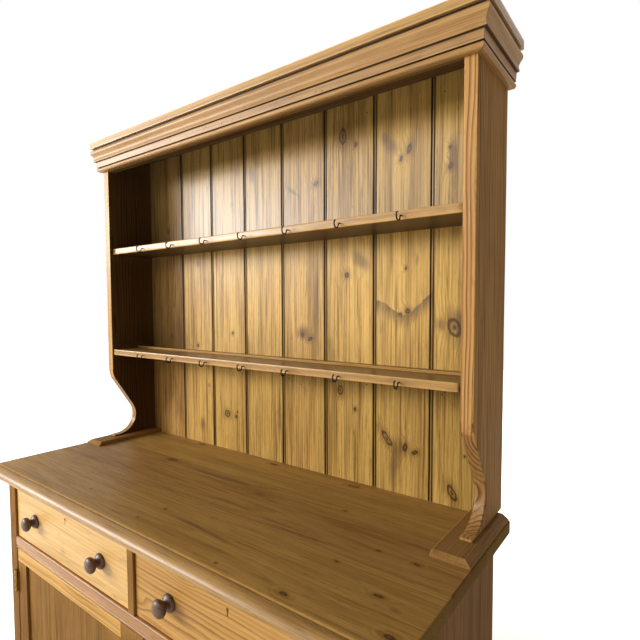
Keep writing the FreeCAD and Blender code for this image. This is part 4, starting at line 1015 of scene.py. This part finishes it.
class DRESSER_OT_cornice(bpy.types.Operator):
    """Builds the mitred cornice moulding with its cap, and the frieze and dust board behind it"""
    bl_idname = "dresser.cornice"
    bl_label = "Cornice"

    # The ogee's hollow, middle and swell, as shares of its height
    hollow_share, middle_share, swell_share = 0.24, 0.51, 0.76
    ogee_steps = 8

    def execute(self, context):
        sizes = context.scene.dresser_sizes
        low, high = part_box("cornice_front")
        section = self.moulding(sizes, high.z - low.z)
        bm = new_mesh()
        self.front_length(bm, section, high.y, low.z, "cornice front", 0.0)
        finished(bm, "cornice_front", finish="cornice", wax=0.75, dust=0.16)
        bm = new_mesh()
        self.return_lengths(bm, section, high.y, low.z, "cornice return")
        finished(bm, "cornice_returns", finish="cornice", wax=0.45)
        low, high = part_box("cornice_cap")
        face_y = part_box("rack_end_right")[0].y
        reach = high.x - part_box("rack_end_right")[1].x
        back = reach - sizes.cap_width
        tall = high.z - low.z
        section = rounded([(back, 0, 0, 0.3), (reach, 0, sizes.ease, 0.25), (reach, tall, sizes.ease, 0.0),
                           (back, tall, 0, 0.3)])
        bm = new_mesh()
        self.front_length(bm, section, face_y, low.z, "cap front", 0.9)
        self.return_lengths(bm, section, face_y, low.z, "cap return")
        finished(bm, "cornice_cap", finish="cornice", wax=1.0)
        # The frieze rail and dust board are darkened nearly to the grime colour: partly dust, partly painted shade
        # under the cornice.
        for node in ("frieze_rail", "dust_board"):
            eased_copy(node, sizes.ease, wax=0.0, dust=0.8)
        return {"FINISHED"}

    def moulding(self, sizes, tall):
        """The section from its back at the foot: bead, quirk, fascia, fillet, ogee and groove."""
        bead_u = sizes.bead_reach - sizes.bead_round
        foot, head, fillet = sizes.fascia_foot, sizes.fascia_head, sizes.fillet_reach
        quirk_v = 2 * sizes.bead_round
        fascia_v = quirk_v + sizes.bead_quirk
        fillet_v = fascia_v + sizes.fascia_height
        ogee_v = fillet_v + sizes.fillet_height
        head_v = ogee_v + sizes.ogee_height
        section = [(0, 0, 0.0, 0.2)]
        bead = bend(bead_u, sizes.bead_round, sizes.bead_round, -90, 80, 10)
        section += [(u, v, 0.3, 0.05) for u, v in bead]
        section += [(bead_u, quirk_v, 0.0, 1.0), (bead_u, fascia_v, 0.0, 1.0),
                    (foot - 0.4 * mm, fascia_v, 0.0, 0.6), (foot, fascia_v + 0.6 * mm, 0.4, 0.1),
                    (foot, fascia_v + 2 * mm, 0.0, 0.0), (head, fillet_v - 2.5 * mm, 0.0, 0.0),
                    (head, fillet_v, 0.0, 0.9), (fillet - 0.5 * mm, fillet_v, 0.0, 0.7),
                    (fillet, fillet_v + 0.5 * mm, 0.6, 0.2), (fillet, ogee_v, 0.2, 0.15)]
        hollow = (sizes.hollow_reach, ogee_v + sizes.ogee_height * self.hollow_share)
        middle = ((sizes.hollow_reach + sizes.swell_reach) / 2,
                  ogee_v + sizes.ogee_height * self.middle_share)
        swell = (sizes.swell_reach, ogee_v + sizes.ogee_height * self.swell_share)
        for start, way, end in (((fillet, ogee_v), hollow, middle),
                                (middle, swell, (sizes.ogee_head, head_v))):
            for step in range(1, self.ogee_steps + 1):
                section.append((*through(start, way, end, step / self.ogee_steps), 0.1, 0.0))
        # The groove under the cap gets full grime: partly old wax, partly painted shade in the groove.
        return section + [(fillet, head_v, 0.0, 0.9), (fillet, tall, 0.0, 1.0), (0, tall, 0.0, 1.0)]

    def front_length(self, bm, section, face_y, foot_z, name, tone):
        """The length across the front, mitred at both ends."""
        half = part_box("rack_end_right")[1].x
        places, dirt = mitred_places(2 * half, 2)
        rings = [[Vector((-half - u + place * 2 * (half + u), face_y - u, foot_z + v))
                  for u, v, _, _ in section] for place in places]
        lay_grain(bm, skin(bm, section, rings, ring_dirt=dirt), name, along=0, tone=tone)

    def return_lengths(self, bm, section, face_y, foot_z, name):
        """The lengths along both sides, mitred at their front ends."""
        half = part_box("rack_end_right")[1].x
        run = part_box("cornice_returns")[1].y - face_y
        places, dirt = mitred_places(run, 1)
        for side in (-1, 1):
            rings = [[Vector((side * (half + u), face_y - u + place * (run + u), foot_z + v))
                      for u, v, _, _ in section] for place in places]
            lay_grain(bm, skin(bm, section, rings, ring_dirt=dirt), f"{name} {side}", along=1, tone=-0.5)


mitre_line = 1.5 * mm
mitre_grime = 0.8


def mitred_places(span, mitres):
    """The sections of a mitred length, as shares of it, and the grime of each: a dark line at a mitre."""
    steps = max(2, math.ceil(span / bpy.context.scene.dresser_sizes.station))
    line = mitre_line / span
    places = [0.0, line] + [step / steps for step in range(1, steps)]
    dirt = [mitre_grime] + [0.0] * steps
    if mitres == 2:
        return places + [1 - line, 1.0], dirt + [0.0, mitre_grime]
    return places + [1.0], dirt + [0.0]


def through(start, way, end, share):
    """A point of the smooth curve from start to end that passes way at its middle."""
    first = (1 - share) * (1 - 2 * share)
    second = 4 * share * (1 - share)
    third = share * (2 * share - 1)
    return tuple(a * first + b * second + c * third for a, b, c in zip(start, way, end))


class DRESSER_OT_cup_hooks(bpy.types.Operator):
    """Bends the round wire cup hooks that stand out of both shelves' front edges"""
    bl_idname = "dresser.cup_hooks"
    bl_label = "Cup hooks"

    sides = 10
    tip_share = 0.75           # the tip's wire is a little thinner

    def execute(self, context):
        for shelf in ("lower", "upper"):
            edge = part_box(shelf + "_shelf")[0].y
            bm = new_mesh()
            for low, high in solids(shelf + "_cup_hooks"):
                self.hook(bm, context.scene.dresser_sizes, (low.x + high.x) / 2, edge, low.z, high.y)
            finished(bm, shelf + "_cup_hooks", smooth=80)
        return {"FINISHED"}

    def hook(self, bm, sizes, x, edge, lowest, screw):
        """One hook from the end of its screw: out of the shelf, down, round the loop and over at the tip."""
        loop_v = lowest + sizes.hook_wire + sizes.hook_loop
        root = loop_v + sizes.hook_bend
        bend_u = edge - sizes.hook_neck
        loop_u = bend_u - sizes.hook_bend - sizes.hook_loop
        curl_u = loop_u - sizes.hook_loop + sizes.hook_curl
        path = [(screw, root), (edge, root)]
        path += bend(bend_u, loop_v, sizes.hook_bend, 90, 180, 5)
        path += bend(loop_u, loop_v, sizes.hook_loop, 0, -180, 16)[1:]
        path += bend(curl_u, loop_v + sizes.hook_rise, sizes.hook_curl, 180, 80, 8)
        rows = []
        for index, (u, v) in enumerate(path):
            before = Vector(path[max(index - 1, 0)])
            after = Vector(path[min(index + 1, len(path) - 1)])
            heading = (after - before).normalized()
            side = Vector((0, -heading.y, heading.x))
            wire = sizes.hook_wire * (self.tip_share if index == len(path) - 1 else 1.0)
            rows.append([bm.verts.new(Vector((x, u, v)) + wire
                                      * (Vector((1, 0, 0)) * math.cos(turn) + side * math.sin(turn)))
                         for turn in (math.tau * step / self.sides for step in range(self.sides))])
        closed_skin(bm, rows)


# The counter and the base

class DRESSER_OT_counter(bpy.types.Operator):
    """Builds the three boards of the counter, the front one with its thumb moulding"""
    bl_idname = "dresser.counter"
    bl_label = "Counter"

    end_station = 4 * mm       # from a board's end to the first cross section
    end_margin = 3 * mm        # how far the bare end grain reaches
    rubbed_depth = 2 * mm      # what lies this near to the top is rubbed dull
    thumb_steps = 10
    step_ease_share = 1.6

    def execute(self, context):
        sizes = context.scene.dresser_sizes
        for board in ("front", "middle", "rear"):
            node = f"counter_{board}_board"
            low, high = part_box(node)
            if board == "front":
                corners = self.thumb(sizes, low, high)
            else:
                corners = [(low.y, low.z, 0, 0.0), (high.y, low.z, 0, 0.0), (high.y, high.z, 0, 0.1),
                           (low.y, high.z, 0, 0.1)]
            section = rounded(corners)
            bm = new_mesh()
            places = [low.x, *stations(low.x + self.end_station, high.x - self.end_station), high.x]
            rings = [[Vector((x, u, v)) for u, v, _, _ in section] for x in places]
            lay_grain(bm, skin(bm, section, rings, sizes.soft_ease), node, along=0)
            left, right = low.x + self.end_margin, high.x - self.end_margin

            def wax(point):
                """The nosing is polished by hands, the top is rubbed dull and the ends are bare."""
                if not left < point.x < right:
                    return 0.0
                return 0.6 if point.z < high.z - self.rubbed_depth else 0.2

            finished(bm, node, wax=wax, dust=lambda point: 0.0 if left < point.x < right else 0.6)
        return {"FINISHED"}

    def thumb(self, sizes, low, high):
        """The front board's section: a step down, a broad quarter round and a small splay under it."""
        step_y = low.y + sizes.thumb_width
        step_z = high.z - sizes.thumb_step
        foot_z = low.z + sizes.thumb_foot
        corners = [(low.y + sizes.thumb_foot, low.z, 0, 0.4), (high.y, low.z, 0, 0.0),
                   (high.y, high.z, 0, 0.1),
                   (step_y, high.z, sizes.ease * self.step_ease_share, 0.0), (step_y, step_z, 0, 0.5)]
        for u, v in bend(0, 0, 1, 90, 180, self.thumb_steps)[1:]:
            corners.append((step_y + u * sizes.thumb_width, foot_z + v * (step_z - foot_z), 0, 0.0))
        return corners


class DRESSER_OT_face_frame(bpy.types.Operator):
    """Builds the posts, rails, divider and muntin of the base's front, and the plinth"""
    bl_idname = "dresser.face_frame"
    bl_label = "Face frame and plinth"

    def execute(self, context):
        ease = context.scene.dresser_sizes.ease
        # The posts, divider and muntin are darkened all over.
        for node in ("corner_posts", "drawer_divider", "centre_muntin"):
            eased_copy(node, ease, along=2, dust=0.4)
        for node in ("top_rail", "mid_rail", "bottom_rail"):
            eased_copy(node, ease, along=0, wax=0.6)
        eased_copy("plinth", ease)
        return {"FINISHED"}


class DRESSER_OT_carcase(bpy.types.Operator):
    """Builds the sides, floor, shelf and back of the base, and what the drawers run on"""
    bl_idname = "dresser.carcase"
    bl_label = "Carcase"

    def execute(self, context):
        ease = context.scene.dresser_sizes.ease
        for node in ("base_side_left", "base_side_right", "base_backboards"):
            eased_copy(node, ease, along=2, dust=0.35)
        for node in ("cupboard_floor", "cupboard_shelf", "drawer_stops"):
            eased_copy(node, ease, along=0)
        for node in ("drawer_runners", "drawer_guides_and_kickers"):
            eased_copy(node, ease, along=1)
        return {"FINISHED"}


class DRESSER_OT_drawers(bpy.types.Operator):
    """Builds both drawers, dovetailed at their corners"""
    bl_idname = "dresser.drawers"
    bl_label = "Drawers"

    dovetail_least = 20        # an edge shorter than this many eases is a dovetail's, and stays sharp

    def execute(self, context):
        ease = context.scene.dresser_sizes.ease
        for side, finish, wax, tone in (("left", "clear_front", 0.3, 0.4), ("right", None, 0.15, -0.6)):
            eased_copy(f"drawer_{side}_front", ease, along=0, least=self.dovetail_least, finish=finish,
                       wax=wax, tones=[tone])
            eased_copy(f"drawer_{side}_sides", ease / 2, along=1, least=self.dovetail_least)
            eased_copy(f"drawer_{side}_back", ease / 2, along=0, least=self.dovetail_least)
            eased_copy(f"drawer_{side}_bottom", ease / 2, along=0)
        return {"FINISHED"}


class DRESSER_OT_doors(bpy.types.Operator):
    """Builds both panelled doors of the cupboards"""
    bl_idname = "dresser.doors"
    bl_label = "Doors"

    def execute(self, context):
        ease = context.scene.dresser_sizes.ease
        for side in ("left", "right"):
            eased_copy(f"door_{side}_rails", ease, along=0)
            # The stiles and panels are darkened all over, and the rails are not.
            eased_copy(f"door_{side}_stiles", ease, along=2, least=12, dust=0.42)
            eased_copy(f"door_{side}_panel", ease / 2, along=2, dust=0.42)
        return {"FINISHED"}


class DRESSER_OT_knobs(bpy.types.Operator):
    """Turns the round knobs of the drawers and the doors"""
    bl_idname = "dresser.knobs"
    bl_label = "Knobs"

    face_depth = 36 * mm       # from a knob's crown back to the face that it stands on
    # From the foot and from the waist: how much wider the knob is, and how far out of the face
    foot_steps = ((-1.0, 0.0), (0.0, 1.0), (0.0, 3.0), (-1.2, 6.0), (-4.0, 8.4))
    waist_steps = ((3.0, 10.0), (0.6, 12.0), (0.0, 13.5), (1.2, 15.4))
    head_middle, head_depth = 25 * mm, 11 * mm

    def execute(self, context):
        for side in ("left", "right"):
            for node in (f"drawer_{side}_knobs", f"door_{side}_knob"):
                bm = new_mesh()
                for low, high in solids(node):
                    self.turn(bm, context.scene.dresser_sizes, low, high)
                finished(bm, node, smooth=50)
        return {"FINISHED"}

    def turn(self, bm, sizes, low, high):
        """One knob from its foot on the face to the crown of its head."""
        profile = []
        for radius, steps in ((sizes.knob_foot, self.foot_steps), (sizes.knob_waist, self.waist_steps)):
            profile += [(radius + wider * mm, reach * mm) for wider, reach in steps]
        for degrees in range(-52, 90, 8):
            angle = math.radians(degrees)
            profile.append(((high.x - low.x) / 2 * math.cos(angle),
                            self.head_middle + self.head_depth * math.sin(angle)))
        centre = Vector(((low.x + high.x) / 2, low.y + self.face_depth, (low.z + high.z) / 2))
        skin_round(bm, centre, profile, sizes.knob_sides)


class DRESSER_OT_ironmongery(bpy.types.Operator):
    """Fits the hinges, the drawer locks and the door latches"""
    bl_idname = "dresser.ironmongery"
    bl_label = "Hinges, locks and latches"

    hinge_ease = 0.3 * mm
    lock_ease = 0.4 * mm

    def execute(self, context):
        for node in ("post_hinge_leaves", "hinge_pins", "door_left_hinge_leaves", "door_right_hinge_leaves"):
            eased_copy(node, self.hinge_ease)
        for side in ("left", "right"):
            for node in (f"door_{side}_latch", f"drawer_{side}_lock_case", f"drawer_{side}_lock_bolt"):
                eased_copy(node, self.lock_ease)
        return {"FINISHED"}


# The stage

class DRESSER_OT_stage(bpy.types.Operator):
    """Sets the pale floor, the soft studio lamps and the camera at the photograph's angle"""
    bl_idname = "dresser.stage"
    bl_label = "Stage"

    # Each lamp's name, place, width, height (m) and power (W), and what they all look at
    lamps = (
        ("window_lamp", (-4.2, -3.3, 2.3), 2.8, 1.3, 315),
        ("fill_lamp", (-1.6, -4.2, 2.9), 2.4, 1.6, 45),
        ("back_lamp", (-0.8, 4.6, 2.6), 2.4, 2.0, 120),
    )
    lit_place = (0, 0, 1.2)
    # The camera's place (m), its turn, tilt and lean (degrees), its lens (mm) and its shift
    camera_place = (0.9113, -0.7730, 1.3158)
    camera_angles = (-36.78, -2.94, -0.22)
    camera_lens = 26.69
    camera_shift = (0.0011, 0.0142)
    floor_half = 9.0
    world_tint = "#F4F0EA"
    world_strength = 0.32

    def execute(self, context):
        self.camera(context)
        self.floor()
        self.world(context)
        for name, place, width, height, power in self.lamps:
            lamp = bpy.data.lights.new(name, "AREA")
            lamp.shape = "RECTANGLE"
            lamp.size = width
            lamp.size_y = height
            lamp.energy = power
            stand = bpy.data.objects.new(name, lamp)
            context.scene.collection.objects.link(stand)
            stand.location = place
            stand.rotation_mode = "QUATERNION"
            stand.rotation_quaternion = (Vector(self.lit_place) - Vector(place)).to_track_quat("-Z", "Y")
        context.scene.view_settings.view_transform = "Standard"
        return {"FINISHED"}

    def camera(self, context):
        """The photograph was taken from the right of the dresser, near it and a little above its counter."""
        yaw, pitch, roll = [math.radians(angle) for angle in self.camera_angles]
        data = bpy.data.cameras.new("photograph_camera")
        data.sensor_width = 36.0
        data.lens = self.camera_lens
        data.shift_x, data.shift_y = self.camera_shift
        camera = bpy.data.objects.new("photograph_camera", data)
        forward = Vector((math.sin(yaw) * math.cos(pitch), math.cos(yaw) * math.cos(pitch), math.sin(pitch)))
        level = Vector((math.cos(yaw), -math.sin(yaw), 0))
        upright = level.cross(forward)
        right = level * math.cos(roll) + upright * math.sin(roll)
        up = upright * math.cos(roll) - level * math.sin(roll)
        turn = Matrix((right, up, -forward)).transposed().to_4x4()
        camera.matrix_world = Matrix.Translation(self.camera_place) @ turn
        context.scene.collection.objects.link(camera)
        context.scene.camera = camera

    def floor(self):
        """A wide square that the dresser stands on."""
        bm = bmesh.new()
        half = self.floor_half
        bm.faces.new([bm.verts.new((x * half, y * half, 0)) for x, y in ((-1, -1), (1, -1), (1, 1), (-1, 1))])
        stood("studio_floor", bm, floor_paint())

    def world(self, context):
        """A soft pale light from all sides, and plain white for the rays that see the background."""
        world = bpy.data.worlds.new("studio")
        world.use_nodes = True
        tree = world.node_tree
        tree.nodes.clear()
        plain = add(tree, "Background", {"Color": linear(self.world_tint), "Strength": self.world_strength})
        white = add(tree, "Background", {"Color": linear("#FFFFFF"), "Strength": 1.0})
        shown = add(tree, "MixShader", {0: seen_rays(tree), 1: plain, 2: white})
        add(tree, "OutputWorld", {"Surface": shown})
        context.scene.world = world


class DRESSER_PT_panel(bpy.types.Panel):
    """Lists the steps that dress the frame"""
    bl_idname = "DRESSER_PT_panel"
    bl_label = "Dresser"
    bl_space_type = "VIEW_3D"
    bl_region_type = "UI"
    bl_category = "Dresser"

    def draw(self, context):
        for operator in operators:
            self.layout.operator(operator.bl_idname)
        for group in (context.scene.dresser_sizes, context.scene.dresser_colours):
            for name in group.__annotations__:
                self.layout.prop(group, name)


operators = (
    DRESSER_OT_stage, DRESSER_OT_back_boards, DRESSER_OT_nails, DRESSER_OT_shelves, DRESSER_OT_rack_ends,
    DRESSER_OT_cornice, DRESSER_OT_cup_hooks, DRESSER_OT_counter, DRESSER_OT_face_frame, DRESSER_OT_carcase,
    DRESSER_OT_drawers, DRESSER_OT_doors, DRESSER_OT_knobs, DRESSER_OT_ironmongery,
)
classes = (DresserSizes, DresserColours, *operators, DRESSER_PT_panel)


def register():
    for item in classes:
        bpy.utils.register_class(item)
    bpy.types.Scene.dresser_sizes = PointerProperty(type=DresserSizes)
    bpy.types.Scene.dresser_colours = PointerProperty(type=DresserColours)


def unregister():
    del bpy.types.Scene.dresser_colours
    del bpy.types.Scene.dresser_sizes
    for item in reversed(classes):
        bpy.utils.unregister_class(item)


def main():
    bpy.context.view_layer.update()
    noise.seed_set(wobble_seed)
    register()
    for operator in operators:
        getattr(bpy.ops.dresser, operator.bl_idname.split(".")[1])()


if __name__ == "__main__":
    main()
